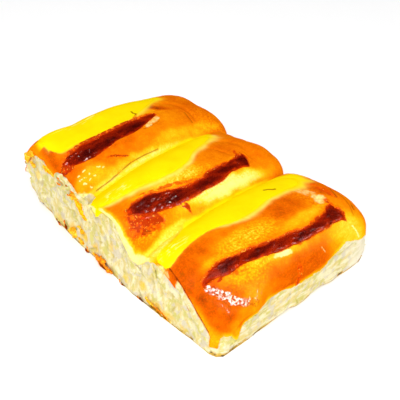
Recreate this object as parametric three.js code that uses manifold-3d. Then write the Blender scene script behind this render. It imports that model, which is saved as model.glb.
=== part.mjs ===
// Sweet bread roll: a torn-off piece of three soft rolls that were baked side by side.
// Each roll has a strip of baked custard along its back shoulder and a stripe of jam in a slit along its top.
// Millimetres. X runs along the rolls, from the torn ends to the rounded ends. Y runs across them, from the
// front roll to the back roll. Z is up, and the origin is in the middle of the flat base.

import * as THREE from 'three';
import { mergeVertices } from 'three/addons/utils/BufferGeometryUtils.js';
import Module from 'manifold-3d';

const wasm = await Module();
wasm.setup();

// Driving dimensions

const ROLL_PITCH = 44;            // from one roll's centre line to the next
const HALF_WIDTH = 25.4;          // of one roll; neighbours melt into each other
const SECTION_POWER = 3.0;        // how square the domed cross-section is
const DOME_LENGTH = 14;           // the rounded end's length along X
const DOME_POWER = 2.35;
const DOME_TIP = 0.12;            // the last section's width against the roll's
const WAIST_HEIGHT = 12.8;        // the rounded end is longest at this height
const SIDE_HEIGHT = 14;           // where a roll's domed top meets its side
const TORN_X_FRONT = -50.5;       // x of the torn face at the front corner
const TORN_X_BACK = -45.5;        // x of the torn face at the back corner
const HALF_DEPTH = 69;            // of the whole piece, along Y
const CORNER_RADIUS = 9;          // of the front corner of the torn face, seen from above
const STATION_START = -48;        // the heights below are given along this stretch of X
const STATION_LENGTH = 95;

const ROLLS = [
  { name: 'back', y: ROLL_PITCH, slant: 0.02, end: 51.5, heights: [39.0, 39.2, 28.0] },
  { name: 'middle', y: 0, slant: 0.06, end: 46.5, heights: [32.5, 37.0, 25.8] },
  { name: 'front', y: -ROLL_PITCH, slant: -0.03, end: 47.5, heights: [31.0, 34.0, 27.0] },
];

// Height of the crust's edge over the torn face, from the front corner to the back corner: [y, z]
const TORN_EDGE = [
  [-70, 3], [-62, 4.5], [-56, 9], [-50, 15], [-44, 20.5], [-37, 25], [-30, 27], [-24, 25], [-19, 20], [-14, 18],
  [-9, 23], [-4, 30], [1, 34], [8, 34], [16, 31], [22, 29], [30, 29.5], [44, 32], [54, 34], [60, 32], [65, 28], [70, 22],
];

// Custard strips: [x, y of the front edge, y of the back edge]
const CUSTARD = {
  back: [[-41.5, 51, 57], [-39.5, 45.5, 62.5], [-30, 44, 65], [-10, 44, 65.5], [3, 45.5, 65.5], [13, 50, 65],
    [23, 55.5, 64.5], [28.5, 59, 62.5]],
  middle: [[-46, 9.5, 13], [-43.5, 7.2, 17.5], [-40, 6.5, 19.6], [-30, 5, 20.4], [-20, 2.2, 20.6], [-9, 1.2, 20.8],
    [0, 3.4, 21.2], [9, 8.6, 21.4], [18, 11.8, 21], [25.5, 15.5, 18.5]],
  front: [[-47, -35.2, -32], [-44, -35.8, -29], [-36, -35, -26], [-28, -34.4, -23.6], [-21, -35.6, -23.2],
    [-13, -38.6, -23], [-4, -39.2, -23], [8, -37.4, -23.4], [20, -37.2, -24.2], [29, -37, -27.5], [33, -34.5, -31.5]],
};

// Jam stripes: [x, y of the middle, half the width]
const JAM = {
  back: [[-42.5, 39.2, 0.7], [-39, 37.4, 3.2], [-33, 36.1, 4.8], [-25, 36.6, 4.7], [-15, 37.8, 3.7], [-5, 38.4, 4.0],
    [3, 39.6, 2.9], [10, 41.2, 1.9], [14.5, 42.2, 0.6]],
  middle: [[-41, -4.2, 0.8], [-36.5, -6, 4.3], [-29, -8.4, 6.0], [-22, -10.8, 5.0], [-15.5, -13, 3.1], [-5, -13.2, 2.9],
    [2, -12.4, 3.5], [10, -11.2, 2.7], [18, -10.4, 3.2], [22.5, -10, 3.8], [25.5, -8, 1.2]],
  front: [[-43, -51.4, 0.6], [-39, -52, 1.5], [-34, -53.6, 3.1], [-28, -55.2, 2.3], [-20, -57, 2.6], [-12, -59, 2.5],
    [-4, -60.3, 2.5], [3, -61.4, 2.2], [8, -62, 1.8], [15, -61.8, 2.3], [22, -61.2, 2.8], [26.5, -60, 3.2], [29, -58, 0.8]],
};

const CUSTARD_DEPTH = 2.0;        // below the crust's surface
const CUSTARD_CROWN = 0.4;        // above the crust's surface
const JAM_DEPTH = 2.6;
const JAM_CROWN = 0.6;
const JAM_LUMPS = 0.35;           // how uneven the jam's surface is
const GAP = 0.3;                  // between a filling and the bread that holds it
const CUTTER_RISE = 4;            // how far a cutting solid stands above the crust

const CRUMB_RELIEF = 1.5;         // crags of the torn face
const CRUMB_SCALE = 6.5;          // distance between crags
const LIP_OVERHANG = 1.2;         // how far the torn crumb lies behind the crust's edge
const SIDE_STEPS = [              // the side below the dome: [share of the side's height, inset]
  [0.9, 0.7], [0.6, 0.6], [0.32, 0.9], [0.12, 1.7], [0, 2.9],
];
const UNDERCUT = 3.6;             // how far the base lies behind the torn face at the back corner
const BACK_CORNER = 5;            // how far the base draws in from the back side at that corner

const TOP_STEPS = 22;             // faces across a roll's top
const BASE_STEPS = 4;             // faces across its base
const LENGTH_STEPS = 24;          // faces along a roll
const FACE_RINGS = [0.94, 0.78, 0.6, 0.4, 0.2];
const TORN_MIDDLE = 11;           // height of the rings' middle on the torn face

// Small helpers

const clamp = THREE.MathUtils.clamp;
const lerp = THREE.MathUtils.lerp;

// Value of a smooth line through stations [place, value, ...] at a place, for the column asked for.
function along(stations, place, column = 1) {
  const last = stations.length - 1;
  if (place <= stations[0][0]) return stations[0][column];
  if (place >= stations[last][0]) return stations[last][column];
  let i = 0;
  while (stations[i + 1][0] < place) i += 1;
  const slope = (k) => {
    const a = stations[Math.max(k - 1, 0)];
    const b = stations[Math.min(k + 1, last)];
    return (b[column] - a[column]) / (b[0] - a[0]);
  };
  const [from, to] = [stations[i], stations[i + 1]];
  const span = to[0] - from[0];
  const u = (place - from[0]) / span;
  const rise = to[column] - from[column];
  const startSlope = slope(i) * span;
  const endSlope = slope(i + 1) * span;
  return from[column] + u * startSlope + u * u * (3 * rise - 2 * startSlope - endSlope)
    + u * u * u * (startSlope + endSlope - 2 * rise);
}

function roundOff(share, power) {
  return Math.pow(Math.max(1 - Math.pow(clamp(share, 0, 1), power), 0), 1 / power);
}

// Repeatable random value of a whole-numbered place, from -1 to 1
function scatter(i, j, k) {
  let h = Math.imul(i, 374761393) + Math.imul(j, 668265263) + Math.imul(k, 1274126177);
  h = Math.imul(h ^ (h >>> 13), 1103515245);
  h ^= h >>> 16;
  return ((h >>> 0) / 4294967295) * 2 - 1;
}

// Smooth bumps about one unit apart, from -1 to 1
function bumps(x, y, z) {
  const cell = [x, y, z].map(Math.floor);
  const fade = [x - cell[0], y - cell[1], z - cell[2]].map((t) => t * t * (3 - 2 * t));
  let sum = 0;
  for (let n = 0; n < 8; n += 1) {
    const corner = [n & 1, (n >> 1) & 1, (n >> 2) & 1];
    const weight = corner.reduce((w, bit, axis) => w * (bit ? fade[axis] : 1 - fade[axis]), 1);
    sum += weight * scatter(cell[0] + corner[0], cell[1] + corner[1], cell[2] + corner[2]);
  }
  return sum;
}

// The rolls' form

function tornX(y) {
  const share = (y + HALF_DEPTH) / (2 * HALF_DEPTH);
  const corner = clamp((-HALF_DEPTH + CORNER_RADIUS - y) / CORNER_RADIUS, 0, 1);
  return lerp(TORN_X_FRONT, TORN_X_BACK, share) + CORNER_RADIUS * (1 - Math.sqrt(1 - corner * corner * 0.96));
}

function ridgeHeight(roll, x) {
  const u = (x - STATION_START) / STATION_LENGTH;
  const [left, middle, right] = roll.heights;
  return left * (1 - u) * (1 - 2 * u) + 4 * middle * u * (1 - u) + right * u * (2 * u - 1);
}

function domeShare(roll, x) {
  return roundOff((x - (roll.end - DOME_LENGTH)) / DOME_LENGTH, DOME_POWER);
}

function centreY(roll, x) {
  return roll.y + roll.slant * x;
}

function halfWidth(roll, x) {
  return HALF_WIDTH * (DOME_TIP + (1 - DOME_TIP) * domeShare(roll, x));
}

function sideHeight(roll, x) {
  const side = Math.min(SIDE_HEIGHT, ridgeHeight(roll, x));
  return WAIST_HEIGHT + (side - WAIST_HEIGHT) * domeShare(roll, x);
}

// Height of a roll's crust over a point of the plan. Towards the torn face it rounds down to the torn edge.
function crustHeight(roll, x, y) {
  const t = clamp(Math.abs(y - centreY(roll, x)) / halfWidth(roll, x), 0, 1);
  const ridge = WAIST_HEIGHT + (ridgeHeight(roll, x) - WAIST_HEIGHT) * domeShare(roll, x);
  const side = sideHeight(roll, x);
  const full = side + (ridge - side) * roundOff(t, SECTION_POWER);
  const edge = along(TORN_EDGE, y);
  if (full <= edge) return full;
  const reach = 7 + 0.75 * (full - edge);
  const short = clamp(1 - (x - tornX(y)) / reach, 0, 1);
  return edge + (full - edge) * Math.sqrt(1 - short * short);
}

// Meshes

function closedMesh(points, faces) {
  const geometry = new THREE.BufferGeometry();
  geometry.setAttribute('position', new THREE.Float32BufferAttribute(points.flat(), 3));
  geometry.setIndex(faces.flat());
  return mergeVertices(geometry, 1e-4);
}

function toSolid(geometry) {
  return new wasm.Manifold(new wasm.Mesh({
    numProp: 3,
    vertProperties: new Float32Array(geometry.attributes.position.array),
    triVerts: new Uint32Array(geometry.index.array),
  }));
}

function toGeometry(solid) {
  const mesh = solid.getMesh();
  const geometry = new THREE.BufferGeometry();
  geometry.setAttribute('position', new THREE.BufferAttribute(new Float32Array(mesh.vertProperties), 3));
  geometry.setIndex(new THREE.BufferAttribute(new Uint32Array(mesh.triVerts), 1));
  geometry.computeVertexNormals();
  return geometry;
}

// Closed skin over rings of points, all of one length, with a fan over each end ring.
function skin(rings, startCentre, endCentre) {
  const count = rings[0].length;
  const points = [...rings.flat(), startCentre, endCentre];
  const start = rings.length * count;
  const faces = [];
  for (let i = 0; i < rings.length - 1; i += 1) {
    for (let j = 0; j < count; j += 1) {
      const k = (j + 1) % count;
      const [a, b] = [i * count + j, i * count + k];
      faces.push([a, a + count, b], [b, a + count, b + count]);
    }
  }
  const last = (rings.length - 1) * count;
  for (let j = 0; j < count; j += 1) {
    const k = (j + 1) % count;
    faces.push([start, j, k], [start + 1, last + k, last + j]);
  }
  return closedMesh(points, faces);
}

// How far the torn crumb lies behind the crust's edge, at a place of the torn face
function tornPull(y, z) {
  const crag = CRUMB_RELIEF * bumps(y / CRUMB_SCALE, z / CRUMB_SCALE, 3.7);
  const low = clamp(1 - z / 12, 0, 1) * UNDERCUT * clamp((y + 40) / 100, 0, 1);
  return Math.max(LIP_OVERHANG + crag + low, 0.1);
}

// One closed section of a roll: up the front side, over the top, down the back side and along the base.
function section(roll, share) {
  const straight = lerp(STATION_START, roll.end, share);
  const half = halfWidth(roll, straight);
  const middle = centreY(roll, straight);
  const dome = domeShare(roll, straight);
  const baseLift = 4 * (1 - roundOff((straight - (roll.end - 5)) / 5, 2));
  const place = (y) => lerp(tornX(y), roll.end, share);
  const openEnd = (y, z) => clamp(1 - share * 12, 0, 1) * tornPull(y, z);
  const rough = (x, y, z) => 0.5 * CRUMB_RELIEF * bumps(x / CRUMB_SCALE, y / CRUMB_SCALE, z / CRUMB_SCALE);
  const top = [];
  for (let i = 0; i <= TOP_STEPS; i += 1) {
    const t = -Math.cos((Math.PI * i) / TOP_STEPS);
    const y = middle + t * half;
    const x = place(y);
    top.push([x, y, Math.max(crustHeight(roll, x, y), baseLift + 2.5)]);
  }
  const wall = (sign, shoulder) => SIDE_STEPS.map(([height, inset]) => {
    const z = lerp(baseLift, shoulder, height);
    const atBackCorner = sign > 0 && roll.y > 0;
    const corner = atBackCorner ? BACK_CORNER * clamp(1 - share * 7, 0, 1) * (1 - height) ** 2 : 0;
    const pull = inset * (0.4 + 0.6 * dome) + (height > 0 ? rough(straight, sign * 9, z) : 0) + corner;
    const y = middle + sign * Math.max(half - Math.max(pull, 0), 0.5 * half);
    return [place(y) + openEnd(y, z), y, z];
  });
  const front = wall(-1, top[0][2]).reverse();
  const back = wall(1, top.at(-1)[2]);
  const base = [];
  for (let i = 1; i < BASE_STEPS; i += 1) {
    const y = lerp(back.at(-1)[1], front[0][1], i / BASE_STEPS);
    base.push([place(y) + openEnd(y, baseLift), y, baseLift]);
  }
  return [...front, ...top, ...back, ...base];
}

// The torn crumb at a roll's open end: rings that shrink to the middle, pulled in and out by crags.
function tornRings(roll, edge) {
  const [middleY, middleZ] = [roll.y, TORN_MIDDLE];
  return FACE_RINGS.map((share) => edge.map(([, y, z]) => {
    const [py, pz] = [lerp(middleY, y, share), lerp(middleZ, z, share)];
    return [tornX(py) + tornPull(py, pz), py, pz];
  })).reverse();
}

function makeRoll(roll) {
  const rings = [];
  for (let i = 0; i <= LENGTH_STEPS; i += 1) {
    const u = i / LENGTH_STEPS;
    rings.push(section(roll, u * 0.35 + 0.65 * (0.5 - 0.5 * Math.cos(Math.PI * u))));
  }
  const torn = tornRings(roll, rings[0]);
  const first = [tornX(roll.y) + tornPull(roll.y, TORN_MIDDLE), roll.y, TORN_MIDDLE];
  const tip = [roll.end, centreY(roll, roll.end), WAIST_HEIGHT * 0.7];
  return skin([...torn, ...rings], first, tip);
}

// A filling that lies in the crust: a strip with a crowned top and a rounded underside, closed all round.
// The grown one, which cuts the bread, is wider and deeper by the gap and stands up through the crust.
function strip(roll, edges, depth, crown, lumps, steps, across, grown) {
  const margin = grown ? GAP : 0;
  const first = edges[0][0] - margin;
  const last = edges.at(-1)[0] + margin;
  const upper = [];
  const lower = [];
  for (let i = 0; i <= steps; i += 1) {
    const share = 0.5 - 0.5 * Math.cos(Math.PI * (i / steps));
    const x = lerp(first, last, 0.5 * share + 0.5 * (i / steps));
    const nearby = [x - 2 * margin, x, x + 2 * margin];
    const front = Math.min(...nearby.map((place) => along(edges, place, 1))) - margin;
    const back = Math.max(...nearby.map((place) => along(edges, place, 2))) + margin;
    const high = [];
    const low = [];
    for (let j = 0; j <= across; j += 1) {
      const s = -Math.cos((Math.PI * j) / across);
      const y = lerp(front, back, 0.5 + 0.5 * s);
      const crust = crustHeight(roll, x, y);
      const swell = Math.max(1 - s * s, 0);
      const end = Math.min(1, Math.min(x - first, last - x) / 3 + 0.15);
      const lump = lumps * bumps(x / 3.1, y / 3.1, 9.4) * swell;
      const proud = grown ? CUTTER_RISE : (crown * swell + lump) * end - 0.05;
      high.push([x, y, crust + proud]);
      low.push([x, y, crust - 0.6 - depth * Math.sqrt(swell) * end - margin]);
    }
    upper.push(high);
    lower.push(low.reverse());
  }
  const rings = upper.map((high, i) => [...high, ...lower[i]]);
  const middle = (ring) => ring.reduce((sum, p) => sum.map((v, axis) => v + p[axis] / ring.length), [0, 0, 0]);
  return skin(rings, middle(rings[0]), middle(rings.at(-1)));
}

function custardStrip(roll, grown = false) {
  return strip(roll, CUSTARD[roll.name], CUSTARD_DEPTH, CUSTARD_CROWN, 0, 24, 5, grown);
}

function jamStrip(roll, grown = false) {
  const edges = JAM[roll.name].map(([x, y, half]) => [x, y - half, y + half]);
  return strip(roll, edges, JAM_DEPTH, JAM_CROWN, JAM_LUMPS, 26, 4, grown);
}

function makeBread() {
  let bread = null;
  for (const roll of ROLLS) {
    const solid = toSolid(makeRoll(roll));
    bread = bread ? bread.add(solid) : solid;
  }
  for (const roll of ROLLS) {
    bread = bread.subtract(toSolid(custardStrip(roll, true)));
    bread = bread.subtract(toSolid(jamStrip(roll, true)));
  }
  return toGeometry(bread);
}

// The piece

const CENTRE_SHIFT = [-0.68, 0.13, 0];   // puts the middle of the whole piece over the origin

const crust = new THREE.MeshStandardMaterial({ color: 0xd8771a, roughness: 0.35, metalness: 0 });
const custard = new THREE.MeshStandardMaterial({ color: 0xf6d713, roughness: 0.4, metalness: 0 });
const jam = new THREE.MeshStandardMaterial({ color: 0x6d1009, roughness: 0.2, metalness: 0 });

function named(name, geometry, material) {
  const mesh = new THREE.Mesh(geometry, material.clone());
  mesh.name = name;
  return mesh;
}

const piece = new THREE.Group();
piece.add(named('bread', makeBread(), crust));
for (const roll of ROLLS) {
  piece.add(named(`custard_${roll.name}`, custardStrip(roll), custard));
  piece.add(named(`jam_${roll.name}`, jamStrip(roll), jam));
}

piece.position.set(...CENTRE_SHIFT);

export default piece;
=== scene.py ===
# %% [markdown]
# # Sweet bread roll
# The object is a torn-off piece of three soft rolls that were baked side by side on a tray. Each roll has a
# strip of baked custard along its back shoulder and a stripe of jam in a slit along its top. The left side
# and the front were torn from their neighbours, so pale crumb shows there. The packed solids are loaded
# first and give the frame: every piece made below lies in the same place and at the same size as its solid.

# %% Load the frame
import math

import bpy
import numpy as np
from mathutils import Matrix, Vector, noise


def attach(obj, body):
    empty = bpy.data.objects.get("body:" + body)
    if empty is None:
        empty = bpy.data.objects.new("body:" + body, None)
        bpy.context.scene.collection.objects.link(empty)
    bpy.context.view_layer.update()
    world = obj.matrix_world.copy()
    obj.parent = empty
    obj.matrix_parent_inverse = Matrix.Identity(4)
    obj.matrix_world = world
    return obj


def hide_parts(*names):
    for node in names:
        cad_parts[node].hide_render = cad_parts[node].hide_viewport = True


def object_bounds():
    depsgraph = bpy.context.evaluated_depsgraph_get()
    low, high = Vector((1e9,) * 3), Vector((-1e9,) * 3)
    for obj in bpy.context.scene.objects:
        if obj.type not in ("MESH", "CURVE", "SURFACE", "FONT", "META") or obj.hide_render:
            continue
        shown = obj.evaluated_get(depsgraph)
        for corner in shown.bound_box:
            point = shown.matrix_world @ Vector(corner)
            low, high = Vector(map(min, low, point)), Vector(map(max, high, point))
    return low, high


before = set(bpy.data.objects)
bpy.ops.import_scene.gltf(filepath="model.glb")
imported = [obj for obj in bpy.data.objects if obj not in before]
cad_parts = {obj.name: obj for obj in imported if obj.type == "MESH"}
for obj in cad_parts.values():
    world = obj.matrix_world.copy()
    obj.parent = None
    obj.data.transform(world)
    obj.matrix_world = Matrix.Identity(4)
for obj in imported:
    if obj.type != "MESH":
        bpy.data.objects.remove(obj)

solid_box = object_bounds()
print("solids:", sorted(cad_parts))

# %% [markdown]
# ## Sizes and small helpers
# Sizes are in millimetres, as on a baker's ruler, and become metres only when a mesh is made. X runs along
# the rolls, from the torn ends to the browned round ends, Y across them from the front roll to the back one,
# and Z is up. The same few numbers that rule the solids rule the fine surface, so both have one form.

# %% Driving sizes
MM = 0.001
ROLL_PITCH = 44.0                      # from one roll's centre line to the next
HALF_WIDTH = 25.4
SECTION_POWER = 3.0                    # how square the domed cross-section is
DOME_LENGTH = 14.0
DOME_POWER = 2.35
DOME_TIP = 0.12
WAIST_HEIGHT = 12.8                    # the rounded end is longest at this height
SIDE_HEIGHT = 14.0                     # where the domed top meets the side
TORN_X_FRONT = -50.5
TORN_X_BACK = -45.5
HALF_DEPTH = 69.0
CORNER_RADIUS = 9.0
BEND_REACH, BEND_SHARE = 7.0, 0.75     # how far in the crust bends down to the torn edge: least, more if tall
STATION_START = -48.0
STATION_LENGTH = 95.0
CENTRE_SHIFT = np.array([-0.68, 0.13, 0.0])     # puts the middle of the whole piece over the origin

ROLLS = {
    "back": {"y": ROLL_PITCH, "slant": 0.02, "end": 51.5, "heights": (39.0, 39.2, 28.0)},
    "middle": {"y": 0.0, "slant": 0.06, "end": 46.5, "heights": (32.5, 37.0, 25.8)},
    "front": {"y": -ROLL_PITCH, "slant": -0.03, "end": 47.5, "heights": (31.0, 34.0, 27.0)},
}

# Height of the crust's edge over the torn left face: (y, z)
TORN_EDGE = [
    (-70, 3), (-62, 4.5), (-56, 9), (-50, 15), (-44, 20.5), (-37, 25), (-30, 27), (-24, 25), (-19, 20),
    (-14, 18), (-9, 23), (-4, 30), (1, 34), (8, 34), (16, 31), (22, 29), (30, 29.5), (44, 32), (54, 35),
    (60, 34), (65, 30), (70, 22),
]
print("rolls:", len(ROLLS), "with centre lines", ROLL_PITCH, "mm apart")

# %% Places of custard and jam
# Custard strips: (x, y of the front edge, y of the back edge)
CUSTARD = {
    "back": [(-41.5, 51, 57), (-39.5, 45.5, 62.5), (-30, 44, 65), (-10, 44, 65.5), (3, 45.5, 65.5),
             (13, 50, 65), (23, 55.5, 64.5), (28.5, 59, 62.5)],
    "middle": [(-46.8, 10.5, 14.6), (-45.6, 8.8, 15.6), (-43.5, 7.2, 17.2), (-40, 6.5, 19.6), (-30, 5, 20.4),
               (-20, 2.2, 20.6), (-9, 1.2, 20.8), (0, 3.4, 21.2), (9, 8.6, 21.4), (18, 11.8, 21),
               (25.5, 15.5, 18.5)],
    "front": [(-48, -35, -30.6), (-47, -36.2, -29.2), (-44, -36.2, -28), (-36, -35, -27.2),
              (-28, -34.4, -24.4), (-21, -35.6, -23.2), (-13, -38.6, -23), (-4, -39.2, -23),
              (8, -37.4, -23.4), (20, -37.2, -24.2), (29, -37, -27.5), (33, -34.5, -31.5)],
}

# Jam stripes: (x, y of the middle, half the width)
JAM = {
    "back": [(-42.9, 38.6, 0.9), (-39.4, 37.0, 3.5), (-33, 36.1, 4.8), (-25, 36.6, 4.7), (-15, 37.8, 3.7),
             (-5, 38.4, 4.0), (3, 39.6, 2.9), (10, 41.2, 1.9), (14.5, 42.2, 0.6)],
    "middle": [(-41, -4.2, 0.8), (-36.5, -6, 4.3), (-29, -8.4, 6.0), (-22, -10.8, 5.0), (-15.5, -13, 3.1),
               (-5, -13.2, 2.9), (2, -12.4, 3.5), (10, -11.2, 2.7), (18, -10.4, 3.2), (22.5, -10, 3.8),
               (25.5, -8, 1.2)],
    "front": [(-43, -51.4, 0.6), (-39, -52, 1.5), (-34, -53.6, 3.1), (-28, -55.2, 2.3), (-20, -57, 2.6),
              (-12, -59, 2.5), (-4, -60.3, 2.5), (3, -61.4, 2.2), (8, -62, 1.8), (15, -61.8, 2.3),
              (22, -61.2, 2.8), (25.5, -60.6, 3.8), (28, -60.8, 4.2), (29.8, -61.6, 1.4)],
}
for name in ROLLS:
    print(name, "roll: custard from x", CUSTARD[name][0][0], "to", CUSTARD[name][-1][0], "mm")

# %% Number helpers
def lerp(a, b, share):
    return a + (b - a) * share


def smooth(low, high, value):
    """0 below low, 1 above high and an even S-curve between; low may be the larger one."""
    t = np.clip((value - low) / (high - low), 0, 1)
    return t * t * (3 - 2 * t)


def round_off(share, power):
    return np.maximum(1 - np.clip(share, 0, 1) ** power, 0) ** (1 / power)


def along(stations, place, column=1):
    """Value of a smooth line through stations (place, value, ...), for the column asked for."""
    table = np.array(stations, float)
    xs, vs = table[:, 0], table[:, column]
    slopes = np.zeros_like(vs)
    slopes[1:-1] = (vs[2:] - vs[:-2]) / (xs[2:] - xs[:-2])
    slopes[0] = (vs[1] - vs[0]) / (xs[1] - xs[0])
    slopes[-1] = (vs[-1] - vs[-2]) / (xs[-1] - xs[-2])
    place = np.clip(np.asarray(place, float), xs[0], xs[-1])
    i = np.clip(np.searchsorted(xs, place, side="left") - 1, 0, len(xs) - 2)
    span = xs[i + 1] - xs[i]
    u = (place - xs[i]) / span
    rise = vs[i + 1] - vs[i]
    start, end = slopes[i] * span, slopes[i + 1] * span
    return vs[i] + u * start + u**2 * (3 * rise - 2 * start - end) + u**3 * (start + end - 2 * rise)


def perlin(points, spacing, seed=0.0):
    """Smooth noise from about -1 to 1, for points (n, 3) in millimetres; spacing is one number or three."""
    scaled = np.asarray(points, float) / np.asarray(spacing, float) + seed * 17.31
    return np.fromiter((noise.noise(p) for p in scaled.reshape(-1, 3).tolist()), float, scaled.size // 3)


print("half of an S-curve:", float(smooth(0, 1, 0.5)))

# %% [markdown]
# ## The rolls' form
# A soft roll that was proofed against its neighbours has a squarish domed section. Its height along its
# length is a parabola through three heights, its far end is rounded, and at the torn end the crust bends
# down to the torn edge. All of that is one height function, so anything can be laid on the crust later.

# %% Form functions
def torn_x(y):
    share = (y + HALF_DEPTH) / (2 * HALF_DEPTH)
    corner = np.clip((-HALF_DEPTH + CORNER_RADIUS - y) / CORNER_RADIUS, 0, 1)
    return lerp(TORN_X_FRONT, TORN_X_BACK, share) + CORNER_RADIUS * (1 - np.sqrt(1 - corner**2 * 0.96))


def ridge_height(roll, x):
    u = (x - STATION_START) / STATION_LENGTH
    left, middle, right = roll["heights"]
    return left * (1 - u) * (1 - 2 * u) + 4 * middle * u * (1 - u) + right * u * (2 * u - 1)


def dome_share(roll, x):
    return round_off((x - (roll["end"] - DOME_LENGTH)) / DOME_LENGTH, DOME_POWER)


def centre_y(roll, x):
    return roll["y"] + roll["slant"] * x


def half_width(roll, x):
    return HALF_WIDTH * (DOME_TIP + (1 - DOME_TIP) * dome_share(roll, x))


def crust_height(roll, x, y):
    """Height of a roll's crust over a point of the plan."""
    dome = dome_share(roll, x)
    t = np.clip(np.abs(y - centre_y(roll, x)) / half_width(roll, x), 0, 1)
    top = ridge_height(roll, x)
    ridge = WAIST_HEIGHT + (top - WAIST_HEIGHT) * dome
    side = WAIST_HEIGHT + (np.minimum(SIDE_HEIGHT, top) - WAIST_HEIGHT) * dome
    full = side + (ridge - side) * round_off(t, SECTION_POWER)
    edge = along(TORN_EDGE, y)
    reach = BEND_REACH + BEND_SHARE * np.maximum(full - edge, 0)
    short = np.clip(1 - (x - torn_x(y)) / reach, 0, 1)
    return np.where(full <= edge, full, edge + (full - edge) * np.sqrt(1 - short**2))


middle_height = float(crust_height(ROLLS["middle"], 0.0, 0.0))
print("height of the middle roll at its centre:", round(middle_height, 2), "mm")

# %% Swellings and strips in the plan
# Soft swellings of the top: x, y, reach along x, reach along y, height
SWELLS = [(-37, 59, 14, 8, 2.4), (-4, 60, 26, 7, 1.3)]


def sag(x, y):
    """Broad, shallow unevenness of the baked top."""
    points = np.stack(np.broadcast_arrays(x, y, 0.0), -1)
    uneven = (0.35 * perlin(points, 17, 1) + 0.18 * perlin(points, 7.5, 2)).reshape(np.shape(x))
    for swell_x, swell_y, reach_x, reach_y, height in SWELLS:
        away = np.hypot((x - swell_x) / reach_x, (y - swell_y) / reach_y)
        uneven = uneven + height * smooth(1.3, 0.2, away)
    return uneven


def lies_in(stations, x, y):
    """Signed distance in the plan to a strip (x, y front, y back), negative inside it."""
    front, back = along(stations, x, 1), along(stations, x, 2)
    ends = np.maximum(stations[0][0] - x, x - stations[-1][0])
    return np.maximum(np.maximum(front - y, y - back), ends)


def jam_edges(name):
    return [(x, y - half, y + half) for x, y, half in JAM[name]]


print("unevenness of the top at the origin:", round(float(sag(0.0, 0.0)), 2), "mm")

# %% [markdown]
# ## Meshes from rings
# A loft is a stack of closed rings of points, skinned with quads and closed with a fan at each end. Every
# soft piece here starts as one, because a loft is always closed and its faces all point outwards.

# %% Mesh helpers
def mesh_object(name, points, faces):
    """New object from points in millimetres; its place is in its mesh."""
    mesh = bpy.data.meshes.new(name)
    mesh.from_pydata(((np.asarray(points) + CENTRE_SHIFT) * MM).tolist(), [], faces)
    mesh.update()
    thing = bpy.data.objects.new(name, mesh)
    bpy.context.scene.collection.objects.link(thing)
    return thing


def skin(rings, first, last):
    """Points and faces of a closed skin over rings (n, count, 3) with a fan over each end ring."""
    n, count = rings.shape[:2]
    points = np.concatenate([rings.reshape(-1, 3), [first, last]])
    j = np.arange(count)
    k = (j + 1) % count
    faces = []
    for i in range(n - 1):
        a = i * count
        faces += np.stack([a + j, a + j + count, a + k + count, a + k], 1).tolist()
    start, tail = n * count, (n - 1) * count
    faces += np.stack([np.full(count, start), j, k], 1).tolist()
    faces += np.stack([np.full(count, start + 1), tail + k, tail + j], 1).tolist()
    return points, faces


def join_shells(shells):
    """Points and faces of several shells in one mesh."""
    points, faces, offset = [], [], 0
    for shell_points, shell_faces in shells:
        points.append(shell_points)
        faces += [[i + offset for i in face] for face in shell_faces]
        offset += len(shell_points)
    return np.concatenate(points), faces


print("a ring of", len(skin(np.zeros((2, 8, 3)), (0, 0, 0), (0, 0, 0))[1]), "faces closes two loops of eight")

# %% Modifiers, points and layers
def apply_modifiers(thing):
    """Replaces an object's mesh by its evaluated one and clears its modifiers."""
    bpy.context.view_layer.update()
    graph = bpy.context.evaluated_depsgraph_get()
    fresh = bpy.data.meshes.new_from_object(thing.evaluated_get(graph))
    thing.modifiers.clear()
    thing.data = fresh


def melt_together(thing, size):
    """Melts overlapping closed shells into one closed skin of even squares, size in millimetres."""
    remesh = thing.modifiers.new("one skin", "REMESH")
    remesh.mode = "VOXEL"
    remesh.voxel_size = size * MM
    apply_modifiers(thing)


def read_points(thing):
    """Points in the plan's millimetres and their normals."""
    count = len(thing.data.vertices)
    flat = np.empty(count * 3, np.float32)
    thing.data.vertices.foreach_get("co", flat)
    normals = np.empty(count * 3, np.float32)
    thing.data.vertices.foreach_get("normal", normals)
    return flat.reshape(-1, 3).astype(float) / MM - CENTRE_SHIFT, normals.reshape(-1, 3).astype(float)


def write_points(thing, points):
    flat = ((points + CENTRE_SHIFT) * MM).astype(np.float32).ravel()
    thing.data.vertices.foreach_set("co", flat)
    thing.data.update()


def write_layer(thing, name, values):
    layer = thing.data.attributes.new(name, "FLOAT", "POINT")
    layer.data.foreach_set("value", np.clip(values, 0, 1).astype(np.float32))


def shade_smooth(thing):
    thing.data.polygons.foreach_set("use_smooth", np.ones(len(thing.data.polygons), bool))


print("points are read and written in units of", MM, "m")

# %% [markdown]
# ## The bread's body
# Each roll is lofted from sections that run up the front side, over the dome, down the back side and along
# the base. At the torn end the skin is drawn in to the middle, a little behind the crust's edge. The three
# lofts overlap and are melted into one skin by a voxel remesh, as the doughs melted into each other in the
# oven. Its squares are a little over half a millimetre, fine enough for crumb, folds and the crust's broken
# edge.

# %% Sizes of the loft
# A roll's side bulges a little: (share of the height, inset)
SIDE_PROFILE = [(0, 0.5), (0.12, 0.2), (0.32, 0.4), (0.6, 0.6), (0.9, 0.7), (1, 0)]
LIP_OVERHANG = 1.2                     # how far the torn crumb lies behind the crust's edge
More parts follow.
